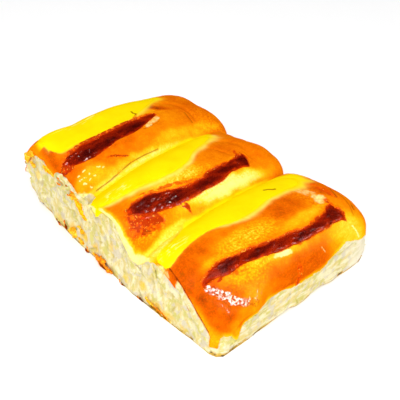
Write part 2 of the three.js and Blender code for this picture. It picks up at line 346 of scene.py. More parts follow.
# How far the base stands out below the torn face: (y, distance)
BASE_FLARE = [(-70, 1.0), (-45, 1.4), (-32, 1.9), (-18, 2.4), (-5, 2.4), (8, 1.6), (20, 1.2), (30, 0.7),
              (40, -0.1), (50, -1.4), (60, -2.4), (70, -2.8)]
FLARE_HEIGHT = 11                      # above this the torn face no longer stands out
BACK_CORNER = 5.0
PULL_FADE, CORNER_FADE = 12, 7         # how fast the pull and the corner's rounding fade along a roll
TORN_MIDDLE = 11.0
FOOT_LIFT, FOOT_LENGTH = 4, 5          # how far the rounded end's foot curls up, and over what length
LEAST_SIDE = 2.5
LENGTH_STEPS, TOP_STEPS, WALL_STEPS, BASE_STEPS, FACE_STEPS = 150, 130, 22, 24, 20
BREAD_VOXEL = 0.58
FEWER_BELOW = 0.70                     # share of the faces that stay; those taken out lie under the base
UNDERSIDE = 0.3                        # faces with points lower than this may be taken out
print("sections along a roll:", LENGTH_STEPS + 1, "and squares of", BREAD_VOXEL, "mm")

# %% Loft the three rolls
def torn_pull(y, z):
    """How far the torn face lies behind the crust's edge, less where the base stands out."""
    return LIP_OVERHANG - np.clip(1 - z / FLARE_HEIGHT, 0, 1) * along(BASE_FLARE, y)


def roll_shell(roll):
    """Points and faces of one roll, from the middle of its torn face to its rounded end."""
    u = np.linspace(0, 1, LENGTH_STEPS + 1)
    share = (0.35 * u + 0.65 * (0.5 - 0.5 * np.cos(np.pi * u)))[:, None]
    straight = lerp(STATION_START, roll["end"], share)
    half, middle, dome = half_width(roll, straight), centre_y(roll, straight), dome_share(roll, straight)
    lift = FOOT_LIFT * (1 - round_off((straight - (roll["end"] - FOOT_LENGTH)) / FOOT_LENGTH, 2))

    def placed(y, z, pulled):
        x = lerp(torn_x(y), roll["end"], share)
        if pulled:
            x = x + np.clip(1 - share * PULL_FADE, 0, 1) * torn_pull(y, z)
        return np.stack([x, y, z], -1)

    top_y = middle - half * np.cos(np.linspace(0, np.pi, TOP_STEPS + 1))[None, :]
    top = placed(top_y, np.zeros_like(top_y), False)
    top[..., 2] = np.maximum(crust_height(roll, top[..., 0], top_y), lift + LEAST_SIDE)

    def wall(sign, shoulder):
        height = np.linspace(1, 0, WALL_STEPS + 1)[1:][None, :]
        z = lerp(lift, shoulder[:, None], height)
        at_back = sign > 0 and roll["y"] > 0
        corner = at_back * BACK_CORNER * np.clip(1 - share * CORNER_FADE, 0, 1) * (1 - height) ** 2
        inset = along(SIDE_PROFILE, height) * (0.4 + 0.6 * dome) + corner
        y = middle + sign * np.maximum(half - inset, 0.5 * half)
        return placed(y, z, True)

    front = wall(-1, top[:, 0, 2])[:, ::-1]
    back = wall(1, top[:, -1, 2])
    across = np.linspace(0, 1, BASE_STEPS + 1)[1:-1][None, :]
    base_y = lerp(back[:, -1:, 1], front[:, :1, 1], across)
    base = placed(base_y, np.broadcast_to(lift, base_y.shape), True)
    rings = np.concatenate([front, top, back, base], 1)

    inner = []
    for inward in np.linspace(0.04, 0.96, FACE_STEPS):
        y = lerp(roll["y"], rings[0, :, 1], inward)
        z = lerp(TORN_MIDDLE, rings[0, :, 2], inward)
        inner.append(np.stack([torn_x(y) + torn_pull(y, z), y, z], -1))
    first = (float(torn_x(roll["y"])) + LIP_OVERHANG, roll["y"], TORN_MIDDLE)
    last = (roll["end"], centre_y(roll, roll["end"]), WAIST_HEIGHT * 0.7)
    return skin(np.concatenate([np.array(inner), rings]), first, last)


def thin_out_below(thing, share):
    """Fewer faces under the flat base, where there is nothing to show."""
    base_points, _ = read_points(thing)
    group = thing.vertex_groups.new(name="underside")
    group.add(np.flatnonzero(base_points[:, 2] < UNDERSIDE).tolist(), 1.0, "REPLACE")
    thinner = thing.modifiers.new("fewer faces below", "DECIMATE")
    thinner.ratio, thinner.vertex_group, thinner.vertex_group_factor = share, group.name, 1000
    apply_modifiers(thing)
    thing.vertex_groups.clear()


bread = mesh_object("bread_body", *join_shells([roll_shell(roll) for roll in ROLLS.values()]))
melt_together(bread, BREAD_VOXEL)
print("bread skin:", len(bread.data.polygons), "squares")
thin_out_below(bread, FEWER_BELOW)
print("bread skin with fewer faces below:", len(bread.data.polygons), "faces")

# %% [markdown]
# ## Where the crust ends
# The crust is a thin skin. On the left it ends at the torn edge, where custard hangs over it in two places,
# and along the front roll at a crease. Along the front it ends in a ragged line above a strip of pale crumb,
# and behind and round the far ends the sides stayed pale low down. These limits are lines through a few
# places, roughened by noise. One number per point says how much crumb shows there: 0 on the crust, 1 on the
# crumb.

# %% Crust and crumb areas
# Height of the crust's lower edge along the front side: (x, z)
FRONT_EDGE = [
    (-52, 8.6), (-49, 8.6), (-47, 11.2), (-43, 10.4), (-41, 7), (-38.8, 6.5), (-37, 11.5), (-33.8, 13.2),
    (-28, 15), (-25, 18), (-20.4, 17.4), (-12, 15.1), (-4, 13.4), (4.5, 13.2), (12, 13), (14.8, 15.6),
    (19.5, 18.5), (25.5, 20), (33, 16.5), (39, 15.3), (46, 12),
]
CRUST_BAND = 0.9                       # thickness of crust that shows along the torn edge
# How far custard and crust hang over the torn edge, less than 0 where they tore off above it: (y, height)
OVERHANG = [(-70, -5.0), (-66, -3.2), (-61.6, -1.8), (-57, 0), (-39, 0), (-36.5, 0.7), (-33, 1.2), (-30, 0.7),
            (-27, 0), (3, 0), (5, 0.4), (8, 1.8), (11, 4.8), (13, 5.4), (15.4, 4.0), (17.5, 1.8), (20, 0)]
# Along the front roll's torn end the crust stops at a crease, a little behind the edge: (y, how far behind)
TORN_CREASE = [(-64, 0.9), (-57.6, 1.0), (-50, 1.1), (-43.2, 1.4), (-39, 1.8)]
BARE_X, BARE_Y, BARE_LENGTH, BARE_WIDTH = -44.2, 18.4, 3.6, 2.8     # a lump of bare dough between two rolls
PALE_SIDE = 8.5                        # height of the pale strip behind and round the far ends

points, normals = read_points(bread)
x, y, z = points.T
ragged = 0.9 * perlin(points, 3.4, 3) + 0.45 * perlin(points, 1.3, 4)
from_torn = x - torn_x(y)
crust_top = np.max([crust_height(roll, x, y) for roll in ROLLS.values()], 0)
torn_line = np.minimum(along(TORN_EDGE, y), crust_top) - along(OVERHANG, y)
from_face = from_torn - (torn_pull(y, z) - LIP_OVERHANG)
left_area = smooth(0.0, 0.7, torn_line - CRUST_BAND - z + 0.6 * ragged) * smooth(5.5, 3.0, from_face)
torn_off = smooth(0.15, -0.25, from_torn - along(TORN_CREASE, y))
torn_off = torn_off * smooth(-40.5, -43.5, y) * smooth(-63, -61, y)
left_area = np.maximum(left_area, torn_off * (z > 4))
front_side = smooth(-64.5, -67.0, y + ragged * smooth(20, 40, x)) * smooth(0.75, 0.45, normals[:, 2])
front_area = smooth(-0.2, 0.5, along(FRONT_EDGE, x) - z + 0.8 * ragged) * front_side
far_side = np.maximum(smooth(34, 40, x), smooth(62, 67, y)) * smooth(0.6, 0.3, normals[:, 2])
far_area = smooth(-3.0, 3.0, PALE_SIDE + 3.5 * perlin(points, 14, 5) + 1.5 * ragged - z) * far_side
crumb = np.maximum(left_area, front_area)
facing_up = smooth(-0.1, 0.35, normals[:, 2])
from_bare = np.hypot((x - BARE_X) / BARE_LENGTH, (y - BARE_Y) / BARE_WIDTH)
crumb = np.maximum(crumb, 0.9 * smooth(1.2, 0.6, from_bare + 0.25 * ragged) * facing_up)
top_area = (1 - crumb) * facing_up
print("share of points on the crumb:", round(float(crumb.mean()), 3))

# %% [markdown]
# ## Relief of the bread
# Points are moved in a few named steps: the broad unevenness of the top, the slits that hold custard and
# jam, soft swellings of the ends, the crease between two rolls, folds and thin creases in the crust, and on
# the torn sides the pulled, fibrous crumb. Moving real points instead of faking the relief in the shader
# keeps it in the mesh.

# %% Folds and creases
# Folds and thin creases in the crust, their grooves darkened with painted shade along with browner crust:
# name, places in the plan, width, depth, darkness
FOLDS = [
    ("back, double crease", [(30.4, 38), (29.2, 34), (28.4, 30)], 0.6, 0.35, 0.5),
    ("back, second crease", [(33.0, 38.5), (31.6, 34), (30.4, 30.5)], 0.6, 0.3, 0.35),
    ("back, under the pale patch", [(0.5, 34.2), (5, 34.8), (9, 35.4), (13, 36.6)], 0.28, 0.3, 0.55),
    ("back, long crease",
     [(27, 50.5), (31.6, 48.8), (33.4, 44.4), (32.6, 37.2), (29.6, 30.8), (26, 26), (22.8, 23.6)],
     1.5, 0.55, 0.12),
    ("back and middle, where they part",
     [(-39.4, 20.4), (-30, 20.9), (-24.8, 21.5), (-16.8, 22.7), (-8, 23.0), (0, 23.2)], 0.30, 0.45, 0.62),
    ("front, along the torn end",
     [(-47.4, -36.4), (-47.8, -40), (-48.2, -43.2), (-48.4, -46.4), (-48.7, -50), (-48.9, -53.4),
      (-49.1, -57.6), (-49.2, -61)], 0.27, 0.9, 1.0),
    ("front, short crease by the speckle", [(-8.6, -39.4), (-6.8, -42.6), (-4.6, -44.4)], 0.35, 0.2, 0.35),
    ("middle, fold by the jam's end", [(15.2, 6.0), (17.4, 3.4), (18.8, 0), (20.4, -3.6)], 0.8, 0.3, 0.22),
    ("middle, end fold", [(24.8, 9.4), (28.6, 6), (30.6, 0), (30.2, -5), (28.8, -9.2)], 1.6, 0.5, 0.12),
    ("front, red fold",
     [(29.6, -40.8), (33.4, -42.6), (34.6, -48.4), (33.8, -53.6), (31.4, -57.6)], 1.5, 0.45, 0.22),
    ("front, end fold", [(38.4, -53), (38.0, -56.8), (36.8, -60.8), (34.4, -64.8)], 0.7, 0.3, 0.4),
    ("front, dark stroke at the end", [(38.6, -60.4), (37.0, -63.0)], 0.45, 0.2, 0.75),
    ("front, dark edge of the red fold", [(38.2, -48.2), (36.6, -51.2), (35.4, -54.2)], 0.5, 0.2, 0.6),
    ("front, end fold beside it", [(40.6, -54), (39.8, -58.6), (38.2, -62.6)], 0.7, 0.25, 0.3),
]


def distance_to_line(places, *axes):
    """Distance of points to a line through places, worked out in the axes given."""
    here = np.stack(axes, -1)
    best = np.full(len(here), 1e9)
    line = np.array(places, float)
    for a, b in zip(line[:-1], line[1:]):
        way = b - a
        share = np.clip(((here - a) @ way) / (way @ way), 0, 1)
        best = np.minimum(best, np.linalg.norm(here - a - share[:, None] * way, axis=1))
    return best


print(len(FOLDS), "folds and creases")

# %% Slits, swellings and folds
CUSTARD_SLIT, JAM_SLIT, VALLEY_DEPTH = 1.0, 2.2, 0.8
BASE_SKIN = 0.35                       # points lower than this belong to the flat base
# Soft swellings that the plain form leaves out: x, y, z, reach, how far they stand out
BULGES = [(46, 54, 22, 10, 1.3), (43, -62, 6, 9, 1.4), (40, -10, 26, 11, 2.0), (35, 0, 30, 10, 1.2),
          (38, -50, 28, 12, 0.9), (43, 36, 27, 13, 1.0), (-30, -69.5, 18, 7, 1.2)]

in_custard = np.minimum.reduce([lies_in(CUSTARD[name], x, y) for name in ROLLS])
in_jam = np.minimum.reduce([lies_in(jam_edges(name), x, y) for name in ROLLS])

move = top_area[:, None] * np.stack([np.zeros_like(x), np.zeros_like(x), sag(x, y)], -1)
slit = CUSTARD_SLIT * smooth(0.3, -0.9, in_custard) + JAM_SLIT * smooth(0.25, -1.3, in_jam)
lip = 0.5 * np.exp(-(((in_jam - 0.9) / 0.8) ** 2)) - 0.12 * np.exp(-(((in_custard - 0.6) / 0.7) ** 2))
move[:, 2] += top_area * (lip - slit)

for bulge_x, bulge_y, bulge_z, reach, height in BULGES:
    away = np.linalg.norm(points - (bulge_x, bulge_y, bulge_z), axis=1)
    move += normals * (height * smooth(1.3, 0.2, away / reach) * (z > BASE_SKIN))[:, None]

heights = np.stack([crust_height(roll, x, y) for roll in ROLLS.values()])
order = np.sort(heights, 0)
valley = np.exp(-(((order[-1] - order[-2]) / 1.1) ** 2)) * top_area
move[:, 2] -= VALLEY_DEPTH * valley

crease_shade = np.zeros_like(x)
wander = 0.15 * perlin(points, 4, 27)
# Painted shade: each fold is pressed in, and its groove gets darker brown in the crease layer, partly browner
# crust
for name, places, width, depth, darkness in FOLDS:
    near = np.exp(-(((distance_to_line(places, x, y) + wander) / width) ** 2)) * (1 - crumb)
    near *= smooth(0.05, 0.2, normals[:, 2])
    move -= normals * (near * depth)[:, None]
    crease_shade = np.maximum(crease_shade, near * darkness)
print("deepest move so far:", round(float(-move[:, 2].min()), 2), "mm")

# %% Torn crumb
# Open holes of the torn crumb: (y, z, radius)
HOLES = [(-6.4, 18.8, 1.7), (-25.0, 12.8, 1.5), (-51.8, 10.0, 1.4), (25.0, 7.2, 1.3), (21.0, 6.8, 1.1),
         (44.0, 24.0, 1.2), (12.0, 24.5, 1.3), (57.0, 18.0, 1.2), (-38.0, 15.0, 1.3), (34.0, 15.5, 1.0),
         (2.0, 9.0, 1.0)]
# The base edge of the front strip is nibbled where crumbs stayed on the tray: (x, how far inwards)
NIBBLED = [(-50, 0), (-43, 0.9), (-39, 1.4), (-34, 0.4), (-29, 0.7), (-25.3, 2.2), (-22, 0.8), (-16, 1.1),
           (-9, 1.9), (-4.7, 0.2), (2.6, 0.3), (10.4, 2.2), (16.6, 0.1), (23, 0), (35, 0.2), (45, 1.2),
           (48, 0)]

# Soft clumps with ragged ridges between them, small pores, and a few open holes
warped = points + 1.8 * np.stack([perlin(points, 5.5, seed) for seed in (6, 7, 8)], -1)
clumps = perlin(warped, (5.5, 5.0, 6.0), 28)
ridges = 1 - 2.2 * np.abs(perlin(warped, (3.0, 2.4, 4.2), 29))
fine = perlin(warped, 1.5, 9)
strands = perlin(points, (8, 3.0, 1.7), 30)
pits = smooth(0.36, 0.62, perlin(warped, (2.8, 2.6, 3.4), 10))
for hole_y, hole_z, radius in HOLES:
    near = np.exp(-((np.hypot(y - hole_y, z - hole_z) / radius) ** 2)) * left_area
    pits = np.maximum(pits, near)
left_relief = 1.15 * clumps + 0.12 * ridges + 0.16 * fine - 0.7 * pits - 0.2
front_relief = 0.50 * strands + 0.25 * clumps + 0.06 * fine - 0.2 * pits - 0.15
relief = np.where(left_area >= front_area, left_relief, front_relief)
move += normals * (crumb * relief)[:, None]
crust_rim = np.exp(-(((crumb - 0.25) / 0.22) ** 2))
move += normals * ((0.25 + 0.35 * perlin(points, 2.4, 31)) * crust_rim * (1 - crumb))[:, None]

move[:, 1] += along(NIBBLED, x) * smooth(3.2, 0.2, z) * smooth(-60, -66, y)
print("share of points in pores and holes:", round(float((pits * crumb).mean()), 3))

# %% Write the moved points
LID_GAP, BOX_GAP = 0.06, 0.05          # how far the bread stays below the box's top and inside its walls
TORN_GAP = 0.25                        # the torn face keeps this far from the box, so nothing is cut flat
LID_SOFTNESS = 0.8                     # heights begin to ease off this far below the lid

low, high = (np.array(v) / MM - CENTRE_SHIFT for v in solid_box)


def under_lid(heights_here):
    """Heights that ease off just below the top of the solids' box instead of passing it."""
    lid = high[2] - LID_GAP
    over = np.maximum(heights_here - lid + LID_SOFTNESS, 0)
    eased = LID_SOFTNESS * (1 - np.exp(-over / LID_SOFTNESS)) * (over > 0)
    return np.minimum(heights_here, lid - LID_SOFTNESS) + eased


moved = points + move
moved[:, 2] = under_lid(moved[:, 2])
moved = np.clip(moved, low + (TORN_GAP, BOX_GAP, BOX_GAP), high - BOX_GAP)
moved[:, 2] = np.where(z < BASE_SKIN, 0.0, np.maximum(moved[:, 2], 0.0))
write_points(bread, moved)
print("largest move:", round(float(np.abs(move).max()), 2), "mm")

# %% [markdown]
# ## Colours of the bread, as layers on its points
# A glazed crust is not one brown. It is deepest where the dough stood proud of its neighbours, yellow in
# the folds, and cream where custard or a tear kept the glaze away. Each such place is named below with its
# middle, its reach and how brown it is, from 0 for pale yellow to 1 for red-brown. Soft noise bends their
# borders. The layers are plain numbers on the points, so the pattern follows the surface.

# %% Browned and golden places
# name, x, y, reach along x, reach along y, turn in degrees, level
BROWNING = [
    ("back, left end", -44.5, 50, 4.5, 20, 0, 0.84),
    ("back, by the jam's left end", -42.5, 34, 6.5, 6, 0, 0.72),
    ("back, front slope", -14, 30.0, 30, 4.6, 0, 0.68),
    ("back, under the jam", -20, 32.0, 14, 1.6, 0, 0.76),
    ("back, front slope far part", 12, 31, 16, 5.5, 0, 0.60),
    ("back, shoulder", -8, 23.2, 32, 1.6, 0, 0.30),
    ("back, foot of the slope", -16, 21.2, 32, 1.5, 2, 0.08),
    ("back, far edge", 0, 70.2, 52, 1.5, 0, 0.82),
    ("back, left shoulder", -38, 25.5, 8, 3.2, 0, 0.40),
    ("back, beside the custard's end", 6, 47, 8, 3.6, 14, 0.24),
    ("back, brown patch", 21.5, 47.6, 8.5, 2.7, -30, 0.90),
    ("back, brown patch's far part", 28.8, 41.5, 4.0, 3.6, -60, 0.76),
    ("back, between jam and patch", 19, 39.5, 8, 4, 0, 0.56),
    ("back, right end", 40, 42, 13, 21, 0, 0.70),
    ("back, behind the patch", 27, 59, 7, 5, 20, 0.30),
    ("back, low by the valley", 27, 25, 13, 3.0, 0, 0.42),
    ("back, gold by the valley", 10, 26.5, 10, 2.4, 4, 0.36),
    ("middle, left", -41, -9, 7, 13, 0, 0.71),
    ("middle, between custard and jam", -14, -2.5, 20, 5.0, 0, 0.26),
    ("middle, orange rise", 14, 0.5, 14, 5.5, 12, 0.64),
    ("middle, deep by the fold", 23, 3.0, 7, 5.5, 0, 0.72),
    ("middle, beside the custard's end", 22, 12, 7, 3, 10, 0.52),
    ("middle, front gold", 4, -18.0, 26, 3.4, 0, 0.03),
    ("middle, left front", -37, -17, 9, 4.5, 0, 0.56),
    ("middle, left corner", -46.5, -23.5, 4, 3.2, 0, 0.30),
    ("middle, low left by the valley", -30, -23.5, 16, 2.4, 0, 0.22),
    ("middle, round end", 37, -3, 12, 18, 0, 0.66),
    ("front, left", -38, -43, 12, 8.5, 0, 0.80),
    ("front, left end", -45, -53, 5, 15, 0, 0.88),
    ("front, behind the custard's left part", -41, -25, 9, 3.0, 12, 0.14),
    ("front, by the custard", -12, -41, 15, 2.2, 0, 0.66),
    ("front, gold speckle", -16, -48.5, 17, 4.6, -8, 0.40),
    ("front, behind the jam's left part", -34, -49.5, 7, 2.4, -12, 0.46),
    ("front, deep patch", 9.5, -46, 11, 6.2, 4, 0.80),
    ("front, gold by the jam", 12, -55.5, 13, 2.4, 0, 0.36),
    ("front, gold before the jam", -14, -61.8, 18, 2.6, -8, 0.33),
    ("front, front slope", -2, -68.4, 20, 3.0, 0, 0.82),
    ("front, gold below the jam's left end", -31.0, -59.6, 7.0, 2.4, -20, 0.44),
    ("front, low left", -41, -65, 7, 6.5, 0, 0.85),
    ("front, near corner", -40, -69.5, 5, 2.4, 0, 0.46),
    ("front, golden right part", 31, -67.5, 14, 5.5, 0, 0.27),
    ("front, red-brown end", 34, -46, 4.5, 6, 10, 0.84),
    ("front, right end", 42, -48, 8, 19, 0, 0.70),
    ("front, browned corner", 44, -60, 8, 9, 0, 0.60),
    ("front, beyond the custard", 34, -31, 7, 6, 0, 0.40),
]
print(len(BROWNING), "named places of browning")

# %% Soft patches of browning
def patch(px, py, reach_x, reach_y, turn, bend):
    """How much a point lies in a soft oval place of the plan: 1 in its middle, 0 outside."""
    angle = math.radians(turn)
    dx, dy = x - px + bend[0], y - py + bend[1]
    along_x = (dx * math.cos(angle) + dy * math.sin(angle)) / reach_x
    along_y = (dy * math.cos(angle) - dx * math.sin(angle)) / reach_y
    return smooth(1.6, 0.4, np.hypot(along_x, along_y))


PLAIN_BROWN = 0.58                     # how brown the crust is where no named place says otherwise
bend = (2.4 * perlin(points, 9, 11) + 0.9 * perlin(points, 3.6, 32),
        1.5 * perlin(points, 8, 12) + 0.6 * perlin(points, 3.2, 33))
half_bend = (0.5 * bend[0], 0.5 * bend[1])
browning = PLAIN_BROWN + 0.10 * perlin(points, 15, 13)
for name, px, py, reach_x, reach_y, turn, level in BROWNING:
    browning = lerp(browning, level, patch(px, py, reach_x, reach_y, turn, bend))
browning += 0.06 * perlin(points, 4.5, 14)
print("browning in the middle:", round(float(np.median(browning)), 2))

# %% Paler rims and dragged crust
fringe = smooth(2.6, 0.0, np.abs(along(FRONT_EDGE, x) - z)) * front_side
browning = lerp(browning, 0.24, 0.8 * fringe)
torn_fringe = smooth(4.0, 0.5, z - along(TORN_EDGE, y)) * smooth(3.2, 1.6, from_torn) * smooth(-32, -20, y)
browning = lerp(browning, 0.32, 0.5 * torn_fringe)
front_gold = smooth(3.0, 1.3, from_torn) * smooth(-46, -57, y) * (1 - left_area)
browning = lerp(browning, 0.42, 0.9 * front_gold)
middle_rim = smooth(2.7, 1.2, from_torn + 0.5 * ragged)
middle_rim = middle_rim * smooth(-30, -24, y) * smooth(12, 6, y) * (1 - left_area)
browning = lerp(browning, 0.22, 0.85 * middle_rim)
# Strands of crust that were dragged down over the torn face: (y, z) places, half width, level, strength
DRAGGED_SKIN = [
    ([(27.4, 29.4), (24.2, 28.6), (22.6, 25.0), (21.2, 22.2), (20.0, 19.6)], 1.8, 0.40, 1.0),
    ([(30.6, 27.4), (27.6, 28.4)], 0.9, 0.5, 0.6),
    ([(38.6, 31.2), (35.4, 32.0), (31.6, 32.6)], 2.0, 0.56, 1.0),
    ([(60.5, 31.5), (63.0, 30.5), (64.6, 27.0)], 2.2, 0.36, 0.55),
]
for places, half_width_here, level, strength in DRAGGED_SKIN:
    away = distance_to_line(places, y, z) + 0.5 * perlin(points, 2.2, 46)
    near = strength * smooth(1.3, 0.4, away / half_width_here) * left_area
    browning = lerp(browning, level, np.minimum(1, 2 * near))
    crumb = crumb * (1 - near)
print("browning from", round(float(browning.min()), 2), "to", round(float(browning.max()), 2))

# %% Bare dough and painted highlights
# Unglazed dough: name, x, y, reach along x, reach along y, turn, strength
PALE_DOUGH = [
    ("back, by the jam's right end", 8.4, 37.0, 6.6, 1.6, 20, 0.56),
    ("middle, front foot", 6, -19.4, 20, 1.9, 0, 0.42),
    ("middle, left of the custard", -46.5, 18, 3.2, 6.0, 0, 1.0),
    ("front, pale patch", 26.5, -45.5, 2.6, 5.6, 24, 0.50),
    ("front, its broad end by the jam", 27.5, -51.0, 3.6, 2.8, 40, 0.62),
    ("front, streak before the jam", -9.5, -63.6, 5.5, 0.9, -10, 0.72),
    ("front, by the left torn edge", -49.5, -34, 1.6, 5, 0, 0.5),
    ("front, near corner", -46.5, -68.5, 1.8, 2.2, 0, 0.5),
]
# Painted highlights: thin bright streaks low on the front roll, drawn in cream: (x, z) places, half width,
# strength
PAINTED_HIGHLIGHT_STREAKS = [([(30.2, 24.6), (31.6, 21.8), (32.8, 18.4)], 0.36, 0.85),
                 ([(9.4, 25.4), (11.2, 21.9)], 0.32, 0.6)]
# Painted highlights: small glints on the back roll's glaze by the torn edge, drawn in cream: x, y, half
# length, turn in degrees
PAINTED_GLINTS = [(-42.0, 28.5, 0.4, -30), (-39.3, 28.5, 0.7, 10), (-41.8, 24.1, 0.4, -60),
                (-42.5, 26.6, 0.6, -10), (-39.2, 24.2, 0.5, 20), (-36.5, 24.3, 0.6, -15),
                (-32.6, 26.4, 0.9, -20), (-30.9, 25.4, 0.4, 0), (-40.7, 21.9, 0.4, -40),
                (-42.5, 24.6, 0.3, 40), (-40.6, 26.0, 0.3, -50), (-38.0, 26.0, 0.3, 30)]

ragged_ink = 0.5 + 0.8 * perlin(points, 2.4, 34) + 0.5 * perlin(points, 1.1, 35)
pale = np.zeros_like(x)
for name, px, py, reach_x, reach_y, turn, strength in PALE_DOUGH:
    near = patch(px, py, reach_x, reach_y, turn, half_bend)
    pale = np.maximum(pale, strength * smooth(0.1, 0.9, near * (0.6 + 0.7 * ragged_ink)))
# Painted highlights: bright cream streaks on the front side
for places, half_width_here, strength in PAINTED_HIGHLIGHT_STREAKS:
    highlight_streak = smooth(1.4, 0.5, distance_to_line(places, x, z) / half_width_here) * (y < -62)
    pale = np.maximum(pale, strength * highlight_streak)
# Painted highlights: each small glint is a short cream dash in the pale layer
for glint_x, glint_y, half_length, turn in PAINTED_GLINTS:
    reach = np.array((math.cos(math.radians(turn)), math.sin(math.radians(turn)))) * half_length
    distance = distance_to_line([(glint_x, glint_y) - reach, (glint_x, glint_y) + reach], x, y)
    pale = np.maximum(pale, 0.95 * smooth(0.40, 0.12, distance))
pale = np.maximum(pale, 0.7 * smooth(1.7, 0.8, from_torn + 0.4 * ragged) * middle_rim)
print("share of pale points:", round(float((pale > 0.5).mean()), 3))

# %% Thin custard beside the strips
# Custard that ran thin beside each strip: (x, width in front, width behind, how pale its front rim is)
FILM = {
    "back": [(-42, 1.0, 3, 0.2), (-20, 1.8, 3, 0.35), (0, 2.4, 3, 0.5), (12, 2.2, 3, 0.35),
             (28, 3.5, 4, 0.1)],
    "middle": [(-46, 1.6, 6, 0.9), (-30, 2.2, 6, 1.0), (-10, 1.9, 6, 1.0), (8, 2.3, 5, 1.0),
               (26, 3.6, 4, 0.6)],
    "front": [(-49, 0.3, 0.3, 0.1), (-38, 0.3, 0.3, 0.1), (-30, 0.4, 0.6, 0.1), (-24, 0.5, 3.6, 0.15),
              (-16, 1.2, 5.2, 0.8), (0, 1.9, 5.4, 1.0), (20, 2.4, 4.6, 0.8), (33, 5.0, 6, 0.3)],
}

film, rim = np.zeros_like(x), np.zeros_like(x)
for i, (name, stations) in enumerate(FILM.items()):
    distance = lies_in(CUSTARD[name], x, y)
    behind = y > 0.5 * (along(CUSTARD[name], x, 1) + along(CUSTARD[name], x, 2))
    width = np.where(behind, along(stations, x, 2), along(stations, x, 1))
    width = width * (1 + 0.35 * perlin(points, 5, 15))
    own = smooth(-3.2, -0.8, heights[i] - order[-1] + 0.6 * perlin(points, 3, 36)) * top_area
    own *= smooth(68.6, 67.4, y)
    share = distance / np.maximum(width, 0.05)
    film = np.maximum(film, smooth(1.25, 0.35, share) * own)
    line = np.exp(-(((distance - 0.85 * width - 0.1) / (0.5 + 0.32 * width)) ** 2)) * (~behind)
    rim = np.maximum(rim, line * own * along(stations, x, 3) * (0.75 + 0.5 * perlin(points, 3, 37)))

hanging = smooth(0.6, 2.2, along(OVERHANG, y)) * smooth(3.6, 2.2, from_torn)
hanging *= z < torn_line + along(OVERHANG, y) + 1
film = np.maximum(film, hanging)
rim = rim * (1 - hanging)
print("share of points under thin custard:", round(float((film > 0.5).mean()), 3))

# %% Jam smears
# Jam that smeared or soaked into the crust: name, x, y, reach along x, reach along y, turn, strength
STAINS = [
    ("middle, red below the jam", -37.4, -10.4, 8.6, 3.4, -62, 1.5),
    ("middle, left smear", -39.6, -11.8, 7.8, 4.6, -62, 0.94),
    ("middle, red spot in the smear", -39.4, -13.6, 2.0, 2.0, 0, 1.0),
    ("middle, drip", -21.0, -18.4, 0.9, 2.6, 8, 1.0),
    ("back, left end of the jam", -42.6, 36.0, 4.0, 3.6, 20, 1.0),
    ("back, streak on the slope", -21.5, 26.8, 5.5, 0.55, -22, 0.9),
    ("back, behind the jam", -16, 42.0, 25, 2.0, 2, 0.92),
    ("back, behind the jam's right part", 5, 45.5, 4.5, 1.1, 40, 0.45),
    ("middle, behind the jam", -20, -4.6, 14, 1.6, -22, 0.6),
    ("middle, right end of the jam", 23.5, -3.6, 1.2, 2.6, -14, 0.7),
    ("front, left end of the jam", -40.5, -52, 4.5, 2.2, 0, 0.85),
    ("front, before the jam's left end", -30, -58.5, 5, 1.2, -20, 0.55),
    ("front, right end of the jam", 28.5, -55.0, 1.6, 3.0, 0, 0.6),
    ("front, drop low on the slope", -5, -69.0, 1.8, 1.2, 0, 0.75),
    ("front, red by the far fold", 34.6, -48, 2.2, 7.5, 4, 0.62),
]

stain = np.zeros_like(x)
grainy_ink = 0.5 + 0.9 * perlin(points, 2.0, 16) + 0.7 * perlin(points, 1.0, 17)
for name, px, py, reach_x, reach_y, turn, strength in STAINS:
    near = patch(px, py, reach_x, reach_y, turn, half_bend)
    stain = np.maximum(stain, strength * smooth(0.1, 0.95, near * (0.5 + 0.7 * grainy_ink)))
soak = smooth(1.3, -0.4, in_jam + 0.7 * perlin(points, 3.2, 18) + 0.3 * perlin(points, 1.3, 38))
stain = np.maximum(stain, soak * top_area) * (1 - crumb)
print("share of stained points:", round(float((stain > 0.5).mean()), 3))

# %% Baked base and rich dough
# Yellow, richer dough that shows in the torn crumb: (y, z), reach along y, reach along z, strength
GILT = [(-20.6, 7.6, 2.6, 1.8, 0.9), (1.6, 14.6, 1.4, 3.4, 0.6), (22.6, 7.4, 3.0, 3.0, 0.9),
        (14.0, 5.4, 2.4, 2.0, 0.7), (-29, 3.0, 6.0, 1.8, 0.8), (-9, 4.0, 3.0, 1.6, 0.5),
        (32, 6.6, 2.4, 2.6, 0.6), (8.6, 19.6, 1.2, 3.0, 0.5), (44, 5.0, 3.0, 2.0, 0.5),
        (-36.4, 3.2, 3.6, 2.0, 0.8), (-47, 3.0, 3.0, 1.4, 0.6), (58, 22, 1.6, 3.6, 0.5)]

# Baked brown skin under the crumb, right at the base, broken up as it tore
base_rim = smooth(3.2, 1.7, z + 0.9 * perlin(points, 4.0, 19) + 0.5 * ragged)
left_base = smooth(-0.1, 0.3, perlin(points, (9, 5.0, 9), 20) - 0.02)
front_base = 0.95 * smooth(3.6, 2.0, z + 0.7 * ragged) * smooth(-0.2, 0.2, perlin(points, (4, 9, 9), 39))
scorch = np.where(left_area > 0.1, base_rim * 0.85 * left_base, 0)
scorch = np.maximum(scorch, np.where(front_area > 0.1, front_base, 0))
scorch = np.maximum(scorch, base_rim * 0.6 * far_area)
scorch = np.maximum(scorch, np.where(z < BASE_SKIN, 0.75, 0))
scorch = np.maximum(scorch, 0.7 * smooth(0.0, -0.25, normals[:, 2]) * smooth(3.4, 2.0, z + 0.4 * ragged))
gilt = np.zeros_like(x)
for gilt_y, gilt_z, reach_y, reach_z, strength in GILT:
    near = np.hypot((y - gilt_y + 0.6 * bend[1]) / reach_y, (z - gilt_z + 1.2 * ragged) / reach_z)
    gilt = np.maximum(gilt, strength * smooth(1.4, 0.4, near) * left_area)
bleach = front_area * smooth(22, 38, x + 3 * ragged)
print("share of scorched points:", round(float((scorch > 0.5).mean()), 3))

